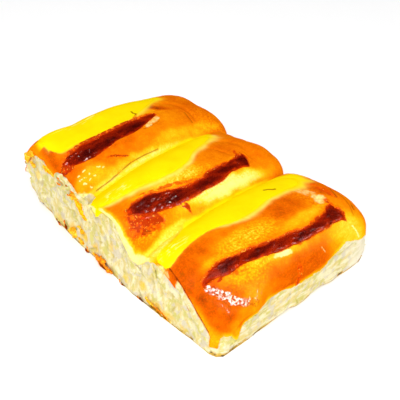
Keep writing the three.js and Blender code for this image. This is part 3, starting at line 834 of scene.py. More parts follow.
# %% Glaze
# Where bubbles under the glaze make the crust grainy: x, y, reach along x, reach along y, strength
GRAINY = [(-8, -5.5, 15, 4.5, 0.9), (-16, -49.5, 18, 6, 0.9), (-38, -12, 8, 8, 1.0), (-26, -61, 14, 5, 0.8),
          (-30, 41, 14, 3, 0.4), (25, -48, 6, 9, 0.7), (-5, -16.5, 20, 2, 0.5), (40, 30, 10, 14, 0.6)]
# Where the glaze lies thick and dried in fine wrinkles: places in the plan, half width, strength
THICK_GLAZE = [
    ([(-42.4, -54.0), (-41.4, -56.6), (-40.4, -59.2), (-39.0, -62.0), (-37.8, -64.6), (-35.2, -66.6),
      (-32.4, -67.4), (-30.4, -68.0)], 2.0, 1.0),
    ([(-29.2, -67.6), (-28.4, -65.6)], 0.6, 0.55),
    ([(-42.4, -61.2), (-41.6, -64.4), (-40.8, -67.0)], 0.7, 0.5),
    ([(-38.4, -67.6), (-36.8, -68.0), (-33.6, -68.2)], 0.7, 0.5),
    ([(-41.6, -9.0), (-41.0, -11.4)], 1.0, 0.4),
    ([(-41.4, -14.8), (-40.4, -16.2), (-40.2, -17.2)], 0.9, 0.9),
]
THIN_GLAZE = 0.006                     # how glossy the crust is where the glaze lies thin
LEAST_GRAIN, LEAST_WRINKLE = 0.22, 0.22


def on_crust(places):
    """Places of the plan with the crust's height there."""
    xs, ys = np.array(places, float).T
    return np.stack([xs, ys, np.max([crust_height(roll, xs, ys) for roll in ROLLS.values()], 0)], 1)


grain_layer, thick = np.full_like(x, LEAST_GRAIN), np.zeros_like(x)
for px, py, reach_x, reach_y, strength in GRAINY:
    grain_layer = np.maximum(grain_layer, strength * patch(px, py, reach_x, reach_y, 0, bend))
for places, half_width_here, strength in THICK_GLAZE:
    away = distance_to_line(on_crust(places), x, y, z) + 0.8 * perlin(points, 2.6, 45)
    thick = np.maximum(thick, strength * smooth(1.15, 0.55, away / half_width_here))
wrinkle = np.maximum(LEAST_WRINKLE, thick)
glaze = THIN_GLAZE * (1 - 0.9 * torn_fringe) * (1 - 0.7 * pale) * (1 - 0.6 * film) * (1 - 0.8 * far_area)
glaze = glaze * (1 - crumb) * (1 - crease_shade) * smooth(-0.3, 0.1, normals[:, 2])
pale = np.maximum(pale, 0.8 * far_area * (1 - crumb))
print("share of points under thick glaze:", round(float((thick > 0.5).mean()), 4))

# %% Write the layers
LAYERS = {"browning": browning, "crumb": crumb, "pale": pale, "stain": stain, "scorch": scorch,
          "glaze": glaze, "thick": thick, "crease": crease_shade, "pits": crumb * pits, "gilt": gilt,
          "bleach": bleach, "strip": front_area, "film": film, "rim": rim, "grainy": grain_layer,
          "wrinkle": wrinkle}
for name, values in LAYERS.items():
    write_layer(bread, name, values)
shade_smooth(bread)
print(len(LAYERS), "layers on", len(x), "points")

# %% [markdown]
# ## Shader sums written as sums
# A material is a sum of many small numbers: noise, masks and their products. The class below wraps one
# number socket and overloads the arithmetic signs, so 1 - mask adds a Math node by itself. Every other node
# comes from one method that takes its type, its settings and its inputs, in a material and in a Geometry
# Nodes tree alike.

# %% Node helper
class Wiring:
    """A tree of nodes: nodes are added by type, and linked where an input is a socket."""

    def __init__(self, tree):
        self.tree = tree

    def add(self, kind, settings=None, inputs=None):
        node = self.tree.nodes.new(kind)
        for key, value in (settings or {}).items():
            setattr(node, key, value)
        for key, value in (inputs or {}).items():
            self.put(node.inputs[key], value)
        return node

    def put(self, socket, value):
        if isinstance(value, bpy.types.NodeSocket):
            self.tree.links.new(value, socket)
        else:
            socket.default_value = value


print("node helper ready:", Wiring.__name__)

# %% Number sockets
class Number:
    """A number socket in a material's tree."""

    def __init__(self, paint, socket):
        self.paint, self.socket = paint, socket

    def math(self, operation, *values, clamped=False):
        node = self.paint.add("ShaderNodeMath", {"operation": operation, "use_clamp": clamped},
                              dict(enumerate(values)))
        return Number(self.paint, node.outputs[0])

    def __add__(self, other):
        return self.math("ADD", self, other)

    def __sub__(self, other):
        return self.math("SUBTRACT", self, other)

    def __rsub__(self, other):
        return self.math("SUBTRACT", other, self)

    def __mul__(self, other):
        return self.math("MULTIPLY", self, other)

    __radd__, __rmul__ = __add__, __mul__

    def clip(self):
        return self.math("ADD", self, 0.0, clamped=True)

    def ease(self, low, high):
        """0 at low, 1 at high, with an even S-curve between."""
        node = self.paint.add("ShaderNodeMapRange", {"interpolation_type": "SMOOTHSTEP"},
                              {"Value": self, "From Min": low, "From Max": high})
        return Number(self.paint, node.outputs["Result"])


print("signs that work on a number socket: + - *")

# %% Paint helper
class Paint(Wiring):
    """A material being mixed."""

    def __init__(self, name):
        self.material = bpy.data.materials.new(name)
        self.material.use_nodes = True
        super().__init__(self.material.node_tree)
        self.shader = self.tree.nodes["Principled BSDF"]
        self.place = self.add("ShaderNodeTexCoord").outputs["Object"]

    def put(self, socket, value):
        super().put(socket, value.socket if isinstance(value, Number) else value)

    def set(self, **inputs):
        """Sets the shader's own sockets; an underscore in a name stands for a space."""
        for key, value in inputs.items():
            self.put(self.shader.inputs[key.replace("_", " ")], value)

    def layer(self, name):
        return Number(self, self.add("ShaderNodeAttribute", {"attribute_name": name}).outputs["Fac"])

    def stretched(self, scale):
        return self.add("ShaderNodeMapping", None, {"Vector": self.place, "Scale": scale}).outputs["Vector"]

    def noise(self, spacing, detail=2.0, roughness=0.5, place=None, distortion=0.0):
        """Noise from 0 to 1, with its spacing in millimetres."""
        node = self.add("ShaderNodeTexNoise", None,
                        {"Vector": place or self.place, "Scale": 1 / (spacing * MM), "Detail": detail,
                         "Roughness": roughness, "Distortion": distortion})
        return Number(self, node.outputs["Fac"])

    def ramp(self, value, stops):
        node = self.add("ShaderNodeValToRGB", None, {"Fac": value})
        elements = node.color_ramp.elements
        for place, _ in stops[2:]:
            elements.new(place)
        for element, (place, colour) in zip(elements, sorted(stops)):
            element.position = place
            element.color = (*colour, 1)
        return node.outputs["Color"]

    def blend(self, share, first, second):
        """Colour that goes from the first to the second as share goes from 0 to 1."""
        colours = {6: first, 7: second}     # the node's sockets for colours; its output 2 is a colour too
        colours = {key: (*value, 1) if isinstance(value, tuple) else value for key, value in colours.items()}
        node = self.add("ShaderNodeMix", {"data_type": "RGBA"}, {0: share, **colours})
        return node.outputs[2]

    def bump(self, height, distance):
        """Small relief, its distance in millimetres."""
        node = self.add("ShaderNodeBump", None, {"Height": height, "Distance": distance * MM})
        self.put(self.shader.inputs["Normal"], node.outputs["Normal"])


print("a paint can add", ", ".join(name for name in vars(Paint) if not name.startswith("_")))

# %% [markdown]
# ## The bread's finish
# Browned crust goes from butter yellow through orange to red-brown, with small mottling from the bubbles
# under the glaze. Where the glaze lies thick it dried to a lace: a clear coat shows in the lace alone, so its
# highlight breaks into sparkles with brown gaps. The crumb is matte cream with greenish, grey and golden
# mottling along its fibres; painted shade darkens its holes and pores, and together with browner crust the
# folds of the crust, and painted highlights lie in the cream of the bare dough. Layers on the points say
# where each one shows, and fine noise breaks up their borders.

# %% Colours of crust and crumb
CRUST_STOPS = [
    (0.00, (0.98, 0.80, 0.20)),
    (0.16, (0.97, 0.66, 0.035)),
    (0.34, (0.95, 0.44, 0.004)),
    (0.54, (0.90, 0.245, 0.0015)),
    (0.74, (0.76, 0.128, 0.0008)),
    (0.88, (0.55, 0.068, 0.0008)),
    (1.00, (0.22, 0.022, 0.002)),
]
DOUGH_CREAM_AND_HIGHLIGHT = (0.99, 0.83, 0.30)
CUSTARD_YELLOW = (0.97, 0.73, 0.002)
RIM_CREAM = (1.0, 0.80, 0.14)
STAIN_RED, STAIN_ORANGE = (0.42, 0.026, 0.002), (0.80, 0.090, 0.001)
SMEAR_SPECK = (1.0, 0.50, 0.05)
CRUMB_CREAM = (0.68, 0.55, 0.21)
CRUMB_WHITE = (0.74, 0.68, 0.44)
CRUMB_GREEN = (0.58, 0.52, 0.15)
CRUMB_GREY = (0.59, 0.52, 0.42)
CRUMB_BLEACHED = (0.80, 0.74, 0.60)
CRUMB_GILT = (0.78, 0.50, 0.045)
CRUMB_HOLE_SHADE = (0.44, 0.33, 0.06)
BURNT = (0.075, 0.026, 0.004)
BAKED_BASE = (0.58, 0.34, 0.045)
CHAR_AND_CREASE_SHADE_BROWN = (0.20, 0.025, 0.002)
GLAZE_BROWN = (0.36, 0.055, 0.002)
print("the crust goes through", len(CRUST_STOPS), "colours")

# %% Crumb colour
def crumb_colour(paint, pits_layer, strip_layer, gilt_layer):
    pulled = paint.noise(2.8, 3, 0.55, paint.stretched((1.0, 1.0, 0.6)), 0.6)
    drawn = paint.noise(2.6, 3, 0.55, paint.stretched((0.3, 1.0, 1.3)), 0.3)
    streaks = pulled + (drawn - pulled) * strip_layer
    patches, greys = paint.noise(5.0, 2, 0.5, None, 0.6), paint.noise(3.8, 2, 0.5, None, 0.5)
    pores = paint.noise(0.8, 2, 0.6)
    colour = paint.blend(streaks.ease(0.38, 0.64), CRUMB_WHITE, CRUMB_CREAM)
    colour = paint.blend(patches.ease(0.48, 0.60) * streaks.ease(0.34, 0.52) * 0.9, colour, CRUMB_GREEN)
    colour = paint.blend(greys.ease(0.53, 0.64) * 0.75, colour, CRUMB_GREY)
    colour = paint.blend((gilt_layer * (pores * 1.2 + 0.4)).clip(), colour, CRUMB_GILT)
    # Painted shade: the crumb is darker in its holes and pores
    return paint.blend((pits_layer + pores.ease(0.58, 0.72) * 0.4).clip(), colour, CRUMB_HOLE_SHADE)


print("crumb colours run from", CRUMB_WHITE, "to", CRUMB_HOLE_SHADE)

# %% Bread material
def bread_material():
    paint = Paint("bread crust and crumb")
    layer = {name: paint.layer(name) for name in LAYERS}
    mottle, freckles, grain = paint.noise(2.6, 3), paint.noise(0.95, 2), paint.noise(0.5, 1)
    blotch = paint.noise(9, 2)
    level = (layer["browning"] + (mottle - 0.5) * 0.18 + (blotch - 0.5) * 0.12
             + (freckles - 0.5) * (layer["grainy"] * 1.1 + 0.05) + (grain - 0.5) * 0.12)
    colour = paint.ramp(level.clip(), CRUST_STOPS)
    film_mask = (layer["film"] + (freckles - 0.5) * 0.25).clip()
    colour = paint.blend(film_mask * 0.92, colour, CUSTARD_YELLOW)
    colour = paint.blend((layer["rim"] * 0.8).clip(), colour, RIM_CREAM)
    # Cream of the bare dough, with the painted highlights of the glints and bright streaks
    pale_mask = (layer["pale"] + (mottle - 0.5) * 0.6 + (freckles - 0.5) * 0.5).ease(0.22, 0.85)
    colour = paint.blend(pale_mask, colour, DOUGH_CREAM_AND_HIGHLIGHT)
    ink = layer["stain"] * (1 + (freckles - 0.5) * 0.9 + (grain - 0.5) * 0.5)
    colour = paint.blend(ink.ease(0.12, 0.55) * 0.9, colour, STAIN_ORANGE)
    colour = paint.blend(ink.ease(0.50, 0.88) * 0.92, colour, STAIN_RED)
    colour = paint.blend(ink.ease(0.3, 0.5) * freckles.ease(0.62, 0.68) * 0.6, colour, SMEAR_SPECK)
    crumb_mask = (layer["crumb"] + (grain - 0.5) * 0.5).ease(0.35, 0.65)
    crumb_paint = crumb_colour(paint, layer["pits"] * 0.5, layer["strip"], layer["gilt"])
    crumb_paint = paint.blend(layer["bleach"] * 0.75, crumb_paint, CRUMB_BLEACHED)
    colour = paint.blend(crumb_mask, colour, crumb_paint)
    scorched = (layer["scorch"] + (freckles - 0.5) * 0.3).ease(0.22, 0.9)
    burnt = paint.blend(paint.noise(2.2, 2).ease(0.57, 0.66), BAKED_BASE, BURNT)
    colour = paint.blend(scorched * 0.9, colour, burnt)
    # Painted shade in the folds, partly browner crust, and the dark brown of the char shreds
    colour = paint.blend(layer["crease"].ease(0.10, 0.85) * 0.9, colour, CHAR_AND_CREASE_SHADE_BROWN)
    lace = paint.noise(1.0, 2, 0.6, None, 0.8)
    open_lace = (lace + (layer["thick"] - 1) * 0.24).ease(0.510, 0.520) * layer["thick"].ease(0.0, 0.2)
    dull = layer["thick"].ease(0.4, 1.0) * (1 - open_lace) * (1 - crumb_mask) * 0.7
    colour = paint.blend(dull, colour, GLAZE_BROWN)
    coat = (layer["glaze"] + open_lace * (1 - layer["crease"])) * (1 - crumb_mask)
    paint.set(Base_Color=colour, Roughness=0.6, Coat_Weight=coat.clip(), Coat_Roughness=0.05, Coat_IOR=1.5,
              Specular_IOR_Level=0.0)
    relief = lace * (layer["wrinkle"] * 1.4 - layer["thick"] * 0.8 - 0.1) + grain * 0.12 + mottle * 0.2
    crumb_relief = crumb_mask * paint.noise(0.9, 3, 0.7) * (1.1 - layer["strip"] * 0.4)
    paint.bump(relief * (1 - crumb_mask) + crumb_relief, 0.3)
    return paint.material


bread.data.materials.clear()
bread_finish = bread_material()
bread.data.materials.append(bread_finish)
print("bread material:", len(bread_finish.node_tree.nodes), "nodes")

# %% [markdown]
# ## Shreds along the torn edge
# When a roll is pulled off its neighbour, the crust's edge curls up and strands of dough stay on it. At the
# base, crumbs and flakes of burnt skin hang on. Each shred here is a flat cord swept along a few places, and
# all shreds of one kind are melted into one skin and roughened. Places are given on the torn face itself, as
# how far out they stand, y and z, so a shred can't lose touch with the bread.

# %% Places of the shreds
# kind: [(radius, [(out from the torn face, y, z), ...])]
SHREDS = {
    "dough": [
        (1.1, [(0.8, 41.0, 29.4), (1.6, 40.0, 32.0), (1.8, 38.0, 34.2), (1.8, 35.2, 35.2), (1.8, 32.0, 35.2),
               (1.8, 29.4, 34.2), (1.6, 27.2, 32.8), (1.2, 24.4, 31.4)]),
        (1.2,
         [(1.2, 39.4, 28.4), (2.0, 36.8, 28.6), (2.2, 33.4, 29.8), (2.2, 30.4, 31.2), (1.6, 27.4, 32.0)]),
        (0.6, [(1.4, 37.2, 32.4), (1.9, 35.2, 33.0), (1.9, 33.2, 32.6), (1.7, 32.0, 31.6)]),
        (0.9, [(-0.4, 51.0, 33.8), (-1.0, 49.6, 35.0), (-1.0, 48.0, 35.0), (-0.2, 46.8, 33.6)]),
        (1.1, [(0.2, 20.0, 29.6), (0.8, 18.2, 27.0), (0.8, 18.6, 23.4), (0.4, 18.4, 20.4)]),
        (1.0, [(0.0, 19.4, 31.6), (0.6, 17.2, 29.8), (0.4, 15.8, 26.6)]),
        (0.7, [(1.2, 40.6, 31.2), (1.5, 39.0, 29.6), (0.9, 37.6, 28.0)]),
        (0.7, [(1.1, 53.4, 33.2), (1.7, 51.0, 35.0), (1.5, 48.6, 34.4), (0.9, 47.2, 32.6)]),
        (1.0, [(0.6, 27.0, 29.4), (1.4, 23.6, 30.6), (1.6, 19.6, 31.2), (1.2, 15.4, 31.6)]),
        (0.8, [(1.0, 25.2, 28.4), (1.2, 21.6, 28.8), (1.2, 18.0, 29.6)]),
        (0.5, [(0.3, 15.4, 30.2), (0.5, 13.6, 26.6), (0.3, 12.4, 23.4)]),
        (0.6, [(0.3, -14.2, 16.4), (0.6, -17.2, 15.0), (0.4, -20.4, 13.4)]),
        (0.6, [(0.5, -26.5, 24.6), (0.6, -28.4, 21.6), (0.3, -29.0, 18.0)]),
    ],
    "gold": [
        (1.3, [(0.6, 60.0, 32.8), (1.0, 63.0, 31.4), (1.0, 65.0, 28.8), (0.6, 65.8, 26.2)]),
        (0.9, [(1.0, 57.6, 34.0), (1.4, 59.6, 34.6), (1.2, 62.0, 33.4)]),
        (0.8, [(0.6, 62.6, 27.6), (0.9, 60.8, 26.6), (0.5, 59.0, 27.8)]),
        (1.2,
         [(0.6, 31.6, 26.0), (1.2, 28.8, 27.4), (1.6, 26.0, 28.8), (1.6, 23.4, 29.8), (1.0, 20.8, 30.2)]),
        (1.1,
         [(0.4, 50.2, 33.6), (1.2, 48.4, 33.0), (1.2, 46.2, 32.0), (1.0, 44.4, 31.0), (0.6, 42.6, 29.8)]),
        (1.2, [(0.2, 34.6, 5.0), (0.6, 33.0, 4.0), (0.6, 31.0, 3.4), (0.3, 29.4, 4.4), (0.3, 30.6, 6.0),
               (0.3, 32.6, 6.6)]),
        (1.0, [(0.2, 27.6, 9.6), (0.4, 26.0, 10.2), (0.4, 24.0, 9.2), (0.3, 24.4, 7.4)]),
        (0.9, [(0.3, 27.0, 4.2), (0.6, 24.6, 3.0), (0.4, 22.2, 3.6)]),
        (0.8, [(0.3, 16.4, 2.4), (0.6, 13.6, 2.6)]),
        (0.7,
         [(0.3, -23.0, 4.0), (0.7, -26.2, 2.8), (0.8, -31.8, 1.2), (0.6, -36.0, 1.0), (0.4, -39.6, 1.4)]),
    ],
    "char": [
        (0.7, [(1.5, 9.0, 3.0), (2.1, 7.0, 2.6), (2.2, 4.6, 2.2), (1.6, 2.6, 2.0)]),
        (0.55, [(0.2, 21.6, 1.6), (0.6, 20.2, 1.0), (0.3, 18.6, 0.9)]),
        (0.5, [(0.2, -6.4, 1.4), (0.5, -7.8, 0.9), (0.2, -9.8, 0.8)]),
        (0.5, [(0.2, -19.4, 1.2), (0.5, -20.8, 0.8), (0.2, -22.6, 0.8)]),
        (0.5, [(0.3, 38.6, 5.4), (0.8, 37.4, 4.0), (0.6, 36.4, 2.8)]),
        (0.45, [(0.3, 47.4, 2.8), (0.7, 45.6, 2.0), (0.5, 43.4, 1.6)]),
    ],
    "skin": [
        (1.7, [(0.8, 28.4, 28.6), (1.1, 25.8, 28.4), (1.1, 23.8, 26.2), (0.8, 22.4, 23.2), (0.4, 21.2, 20.4),
               (0.1, 20.4, 18.0)]),
        (0.6, [(1.4, 47.8, 33.2), (1.8, 46.0, 32.0), (1.6, 44.2, 30.8)]),
    ],
    "burnt": [
        (0.35, [(2.0, 38.8, 30.2), (2.6, 36.8, 30.4), (2.7, 34.6, 31.2)]),
        (0.35, [(2.0, 31.4, 27.2), (2.6, 28.4, 28.8), (2.9, 25.8, 30.2), (2.7, 23.4, 31.0)]),
        (1.3, [(0.2, 14.0, 3.2), (0.9, 11.2, 3.0), (1.3, 8.0, 2.4), (1.2, 5.0, 2.0), (0.9, 2.0, 1.8),
               (0.4, -0.6, 1.6)]),
        (0.9, [(0.6, 9.6, 4.8), (1.0, 7.4, 4.2), (0.9, 5.0, 3.8)]),
        (1.0,
         [(0.3, -26.6, 2.2), (0.5, -29.0, 2.0), (0.5, -32.0, 2.2), (0.4, -35.0, 2.0), (0.3, -37.6, 1.6)]),
        (0.55, [(0.1, 39.6, 6.4), (0.6, 38.2, 4.6), (0.6, 37.0, 3.2)]),
        (0.5, [(0.1, 20.4, 3.6), (0.7, 19.2, 2.6), (0.7, 18.0, 1.6)]),
        (0.5, [(0.1, -5.2, 1.8), (0.6, -6.6, 0.8), (0.6, -8.6, 0.7)]),
        (0.45, [(0.1, -17.6, 1.2), (0.6, -19.2, 0.7), (0.6, -21.4, 0.7)]),
        (0.4, [(0.2, 46.6, 1.2), (0.6, 43.6, 0.8), (0.5, 40.8, 0.8)]),
    ],
}
print(sum(len(cords) for cords in SHREDS.values()), "shreds of", len(SHREDS), "kinds")

# %% Torn shreds
SHRED_VOXEL = 0.36
SHRED_STEPS, SHRED_SIDES = 26, 12
SHRED_WIDTH, SHRED_THICKNESS = 1.15, 0.7
SHRED_FLOOR = 0.15                     # no shred hangs lower than this
# How deep each kind is roughened, and the bread's layers that it wears
SHRED_ROUGH = {"dough": 0.35, "gold": 0.75, "skin": 0.3, "burnt": 0.5, "char": 0.35}
SHRED_LAYERS = {"dough": {"crumb": 1.0},
                "gold": {"crumb": 0.30, "browning": 0.30, "grainy": 1.0, "scorch": 0.46},
                "skin": {"browning": 0.36, "crumb": 0.16, "grainy": 0.8},
                "burnt": {"browning": 0.62, "scorch": 0.44, "grainy": 1.0},
                "char": {"browning": 0.95, "crease": 0.75, "grainy": 0.6}}


def shred_shell(radius, stations):
    """A flattened cord through places on the torn face, thin at its ends."""
    table = np.array(stations, float)
    reach = np.concatenate([[0], np.cumsum(np.linalg.norm(np.diff(table, axis=0), axis=1))])
    share = np.linspace(0, 1, SHRED_STEPS)
    out, shred_y, shred_z = (along(np.stack([reach, column], 1), share * reach[-1]) for column in table.T)
    middle = np.stack([torn_x(shred_y) + torn_pull(shred_y, shred_z) - out, shred_y, shred_z], -1)
    way = np.gradient(middle, axis=0)
    way /= np.linalg.norm(way, axis=1)[:, None]
    side = np.cross(way, (1.0, 0.0, 0.0))
    side /= np.linalg.norm(side, axis=1)[:, None]
    outward = np.cross(side, way)
    thick = radius * (0.35 + 0.65 * np.sin(np.pi * share) ** 0.6) * (1 + 0.35 * perlin(middle, 1.9, 40))
    turn = np.linspace(0, 2 * np.pi, SHRED_SIDES + 1)[:-1]
    oval = (SHRED_WIDTH * np.cos(turn)[None, :, None] * side[:, None]
            + SHRED_THICKNESS * np.sin(turn)[None, :, None] * outward[:, None])
    rings = middle[:, None] + thick[:, None, None] * oval
    return skin(rings, rings[0].mean(0), rings[-1].mean(0))


def painted(thing, **values):
    """Gives a piece all the layers that the bread's material reads, the same number all over for each."""
    for name in LAYERS:
        write_layer(thing, name, np.full(len(thing.data.vertices), values.get(name, 0.0)))
    thing.data.materials.clear()
    thing.data.materials.append(bread_finish)
    shade_smooth(thing)


shreds = {}
for kind, cords in SHREDS.items():
    shred = mesh_object(f"shreds_{kind}", *join_shells([shred_shell(*cord) for cord in cords]))
    melt_together(shred, SHRED_VOXEL)
    shred_points, shred_normals = read_points(shred)
    rough = SHRED_ROUGH[kind] * (perlin(shred_points, 1.5, 41) + 0.6 * perlin(shred_points, 0.8, 42))
    shred_points = shred_points + shred_normals * rough[:, None]
    shred_points[:, 2] = np.maximum(shred_points[:, 2], SHRED_FLOOR)
    write_points(shred, np.clip(shred_points, low + BOX_GAP, high - BOX_GAP))
    painted(shred, **SHRED_LAYERS[kind])
    shreds[kind] = shred
    print("shreds,", kind + ":", len(shred.data.polygons), "faces")

# %% [markdown]
# ## Custard
# The custard was piped on the back shoulder of each roll and baked with it. It is a thin smooth bed that
# lies in the crust and stands a hair proud of it. Its skin is matt, with a painted sheen highlight of paler
# streaks in a few places, and little scorch marks. Each strip is a loft that follows its outline and the
# crust's height, so it can't float or sink. The jam stripes start from the same loft.

# %% Strip bedded in the crust
LEAST_WIDTH, LEAST_DEPTH = 0.4, 0.5
TUCK = 0.12                            # how far a strip's edge lies under the crust's surface
END_FADE = 3                           # a strip thins out over this length at its ends


def strip_shell(name, edges, depth, crown, steps, across, wobble=0.0):
    """A filling bedded in a roll's crust: crowned top, rounded underside, closed all round."""
    roll = ROLLS[name]
    share = np.linspace(0, 1, steps + 1)
    share = 0.5 * share + 0.5 * (0.5 - 0.5 * np.cos(np.pi * share))
    strip_x = lerp(edges[0][0], edges[-1][0], share)
    places = np.stack([strip_x, np.full_like(strip_x, roll["y"]), np.zeros_like(strip_x)], -1)
    front = along(edges, strip_x, 1) + wobble * (perlin(places, 3.6, 21) + 0.4 * perlin(places, 1.6, 22))
    back = along(edges, strip_x, 2) + wobble * (perlin(places, 3.6, 23) + 0.4 * perlin(places, 1.6, 24))
    back = np.maximum(back, front + LEAST_WIDTH)
    s = -np.cos(np.linspace(0, np.pi, across + 1))[None, :]
    ys = lerp(front[:, None], back[:, None], 0.5 + 0.5 * s)
    xs = np.broadcast_to(strip_x[:, None], ys.shape)
    crust = crust_height(roll, xs, ys) + sag(xs, ys)
    swell = np.maximum(1 - s**2, 0)
    end = np.clip(np.minimum(xs - edges[0][0], edges[-1][0] - xs) / END_FADE + 0.1, 0, 1)
    uneven = 0.08 * perlin(np.stack([xs, ys, np.zeros_like(xs)], -1), 5, 25).reshape(xs.shape)
    upper = crust + (crown + uneven) * swell**0.6 * end - TUCK
    lower = crust - LEAST_DEPTH - depth * np.sqrt(swell) * end
    rings = np.concatenate([np.stack([xs, ys, upper], -1), np.stack([xs, ys, lower], -1)[:, ::-1]], 1)
    return skin(rings, rings[0].mean(0), rings[-1].mean(0))


print("a strip is tucked", TUCK, "mm under the crust's surface")

# %% Custard strips
CUSTARD_CROWN = 0.4
CUSTARD_DEPTH = 1.7
CUSTARD_STEPS, CUSTARD_ACROSS = 260, 52
CUSTARD_LIGHT, CUSTARD_DEEP = (0.97, 0.72, 0.0006), (0.96, 0.64, 0.0004)
SHEEN_HIGHLIGHT_CREAM, MARK_BROWN = (1.0, 0.88, 0.22), (0.40, 0.17, 0.001)
# Painted highlight: where paler sheen streaks are painted on the custard: x, y, reach along x, reach along y
PAINTED_SHEEN_PLACES = {"back": [(-20, 58, 14, 3)], "middle": [(-36, 10, 8, 3)], "front": [(-40, -31, 7.5, 2.6)]}
# Little scorch marks: places in the plan
MARKS = {"back": [[(6.2, 49.8), (5.8, 48.2), (6.8, 47.0), (5.4, 45.8)]], "middle": [],
         "front": [[(13.4, -31.2), (15.2, -32.2), (16.4, -33.6), (17.6, -34.0)]]}


def custard_material():
    paint = Paint("baked custard")
    cloud, fine = paint.noise(9, 2), paint.noise(1.6, 2)
    colour = paint.blend(cloud.ease(0.40, 0.72) * 0.6, CUSTARD_LIGHT, CUSTARD_DEEP)
    streaks = paint.noise(1.1, 2, 0.5, paint.stretched((0.22, 1.0, 1.0)), 0.4)
    # Painted sheen highlight: paler cream streaks in a few places
    colour = paint.blend(paint.layer("satin") * streaks.ease(0.52, 0.68) * 0.8, colour, SHEEN_HIGHLIGHT_CREAM)
    colour = paint.blend(paint.layer("mark"), colour, MARK_BROWN)
    paint.set(Base_Color=colour, Roughness=0.6, Coat_Weight=0.04, Coat_Roughness=0.22,
              Specular_IOR_Level=0.0)
    paint.bump(fine + cloud * 0.6, 0.12)
    return paint.material


yellow = custard_material()
custards = {}
for name in ROLLS:
    shell = strip_shell(name, CUSTARD[name], CUSTARD_DEPTH, CUSTARD_CROWN, CUSTARD_STEPS, CUSTARD_ACROSS)
    custards[name] = mesh_object(f"custard_{name}_bed", *shell)
    shade_smooth(custards[name])
    custards[name].data.materials.append(yellow)
    custard_points, _ = read_points(custards[name])
    custard_points[:, 2] = under_lid(custard_points[:, 2])
    write_points(custards[name], custard_points)
    custard_x, custard_y, _ = custard_points.T
    satin, mark = np.zeros_like(custard_x), np.zeros_like(custard_x)
    for px, py, reach_x, reach_y in PAINTED_SHEEN_PLACES[name]:
        away = np.hypot((custard_x - px) / reach_x, (custard_y - py) / reach_y)
        satin = np.maximum(satin, smooth(1.3, 0.4, away))
    for places in MARKS[name]:
        mark = np.maximum(mark, smooth(0.75, 0.25, distance_to_line(places, custard_x, custard_y)))
    write_layer(custards[name], "satin", satin)
    write_layer(custards[name], "mark", mark)
    print("custard", name, len(custards[name].data.polygons), "faces")

# %% [markdown]
# ## Geometry Nodes helper
# Things that repeat over a surface are grown by Geometry Nodes. The helper builds a tree with named inputs,
# scatters copies of a shape and closes the tree with the steps that both trees here share. When a tree is
# used, its inputs are set on the modifier by their identifiers, the result is turned into a plain mesh, and
# the modifier goes.

# %% Tree helper
class Tree(Wiring):
    """A Geometry Nodes tree with named inputs."""

    KINDS = {int: "NodeSocketInt", float: "NodeSocketFloat"}

    def __init__(self, name, values):
        super().__init__(bpy.data.node_groups.new(name, "GeometryNodeTree"))
        face = self.tree.interface
        face.new_socket("Geometry", in_out="INPUT", socket_type="NodeSocketGeometry")
        face.new_socket("Geometry", in_out="OUTPUT", socket_type="NodeSocketGeometry")
        self.values, self.identifiers = values, {}
        for label, value in values.items():
            kind = self.KINDS.get(type(value), "NodeSocketMaterial")
            self.identifiers[label] = face.new_socket(label, in_out="INPUT", socket_type=kind).identifier
        self.entry = self.tree.nodes.new("NodeGroupInput")
        self.exit = self.tree.nodes.new("NodeGroupOutput")

    def put(self, socket, value):
        """A value that is the name of one of the tree's inputs is linked from there."""
        named = isinstance(value, str) and value in self.identifiers
        super().put(socket, self.entry.outputs[value] if named else value)

    def maths(self, operation, first, second):
        return self.add("ShaderNodeMath", {"operation": operation}, {0: first, 1: second}).outputs[0]

    def scaled(self, vector, factor):
        node = self.add("ShaderNodeVectorMath", {"operation": "SCALE"}, {0: vector, "Scale": factor})
        return node.outputs[0]

    def random_vector(self, low_corner, high_corner):
        node = self.add("FunctionNodeRandomValue", {"data_type": "FLOAT_VECTOR"},
                        {0: low_corner, 1: high_corner, "Seed": "Seed"})
        return node.outputs[0]

    def scattered(self, spots, shape, turn, scale):
        """Copies of a shape on the spots, turned and scaled, as real geometry."""
        rotation = self.add("FunctionNodeEulerToRotation", None, {0: turn})
        placed = self.add("GeometryNodeInstanceOnPoints", None,
                          {"Points": spots, "Instance": shape, "Rotation": rotation.outputs[0],
                           "Scale": scale})
        return self.add("GeometryNodeRealizeInstances", None, {0: placed.outputs[0]}).outputs[0]

    def close(self, geometry, push):
        """The tree's result: the geometry with its points pushed, shaded smooth, in the tree's material."""
        pushed = self.add("GeometryNodeSetPosition", None, {0: geometry, "Offset": push})
        rounded = self.add("GeometryNodeSetShadeSmooth", None, {0: pushed.outputs[0]})
        real = self.add("GeometryNodeRealizeInstances", None, {0: rounded.outputs[0]})
        coloured = self.add("GeometryNodeSetMaterial", None, {0: real.outputs[0], "Material": "Material"})
        self.tree.links.new(coloured.outputs[0], self.exit.inputs["Geometry"])

    def grown_on(self, base, name):
        """A new plain-mesh object: what the tree makes of a base object."""
        modifier = base.modifiers.new(self.tree.name, "NODES")
        modifier.node_group = self.tree
        for label, value in self.values.items():
            modifier[self.identifiers[label]] = value
        bpy.context.view_layer.update()
        graph = bpy.context.evaluated_depsgraph_get()
        mesh = bpy.data.meshes.new_from_object(base.evaluated_get(graph))
        base.modifiers.remove(modifier)
        mesh.name = name
        thing = bpy.data.objects.new(name, mesh)
        bpy.context.scene.collection.objects.link(thing)
        return thing


print("a tree can add", ", ".join(name for name in vars(Tree) if name[0].islower()))

# %% [markdown]
# ## Crumbs that cling
# Torn crumb is never clean: a couple of hundred tiny crumbs cling to it, most of all along the crust's edge
# and at the base. They are one ball of few faces, which Geometry Nodes drops on the bread where its points
# say so, turned and stretched at random and then dented by noise, so no two look the same.

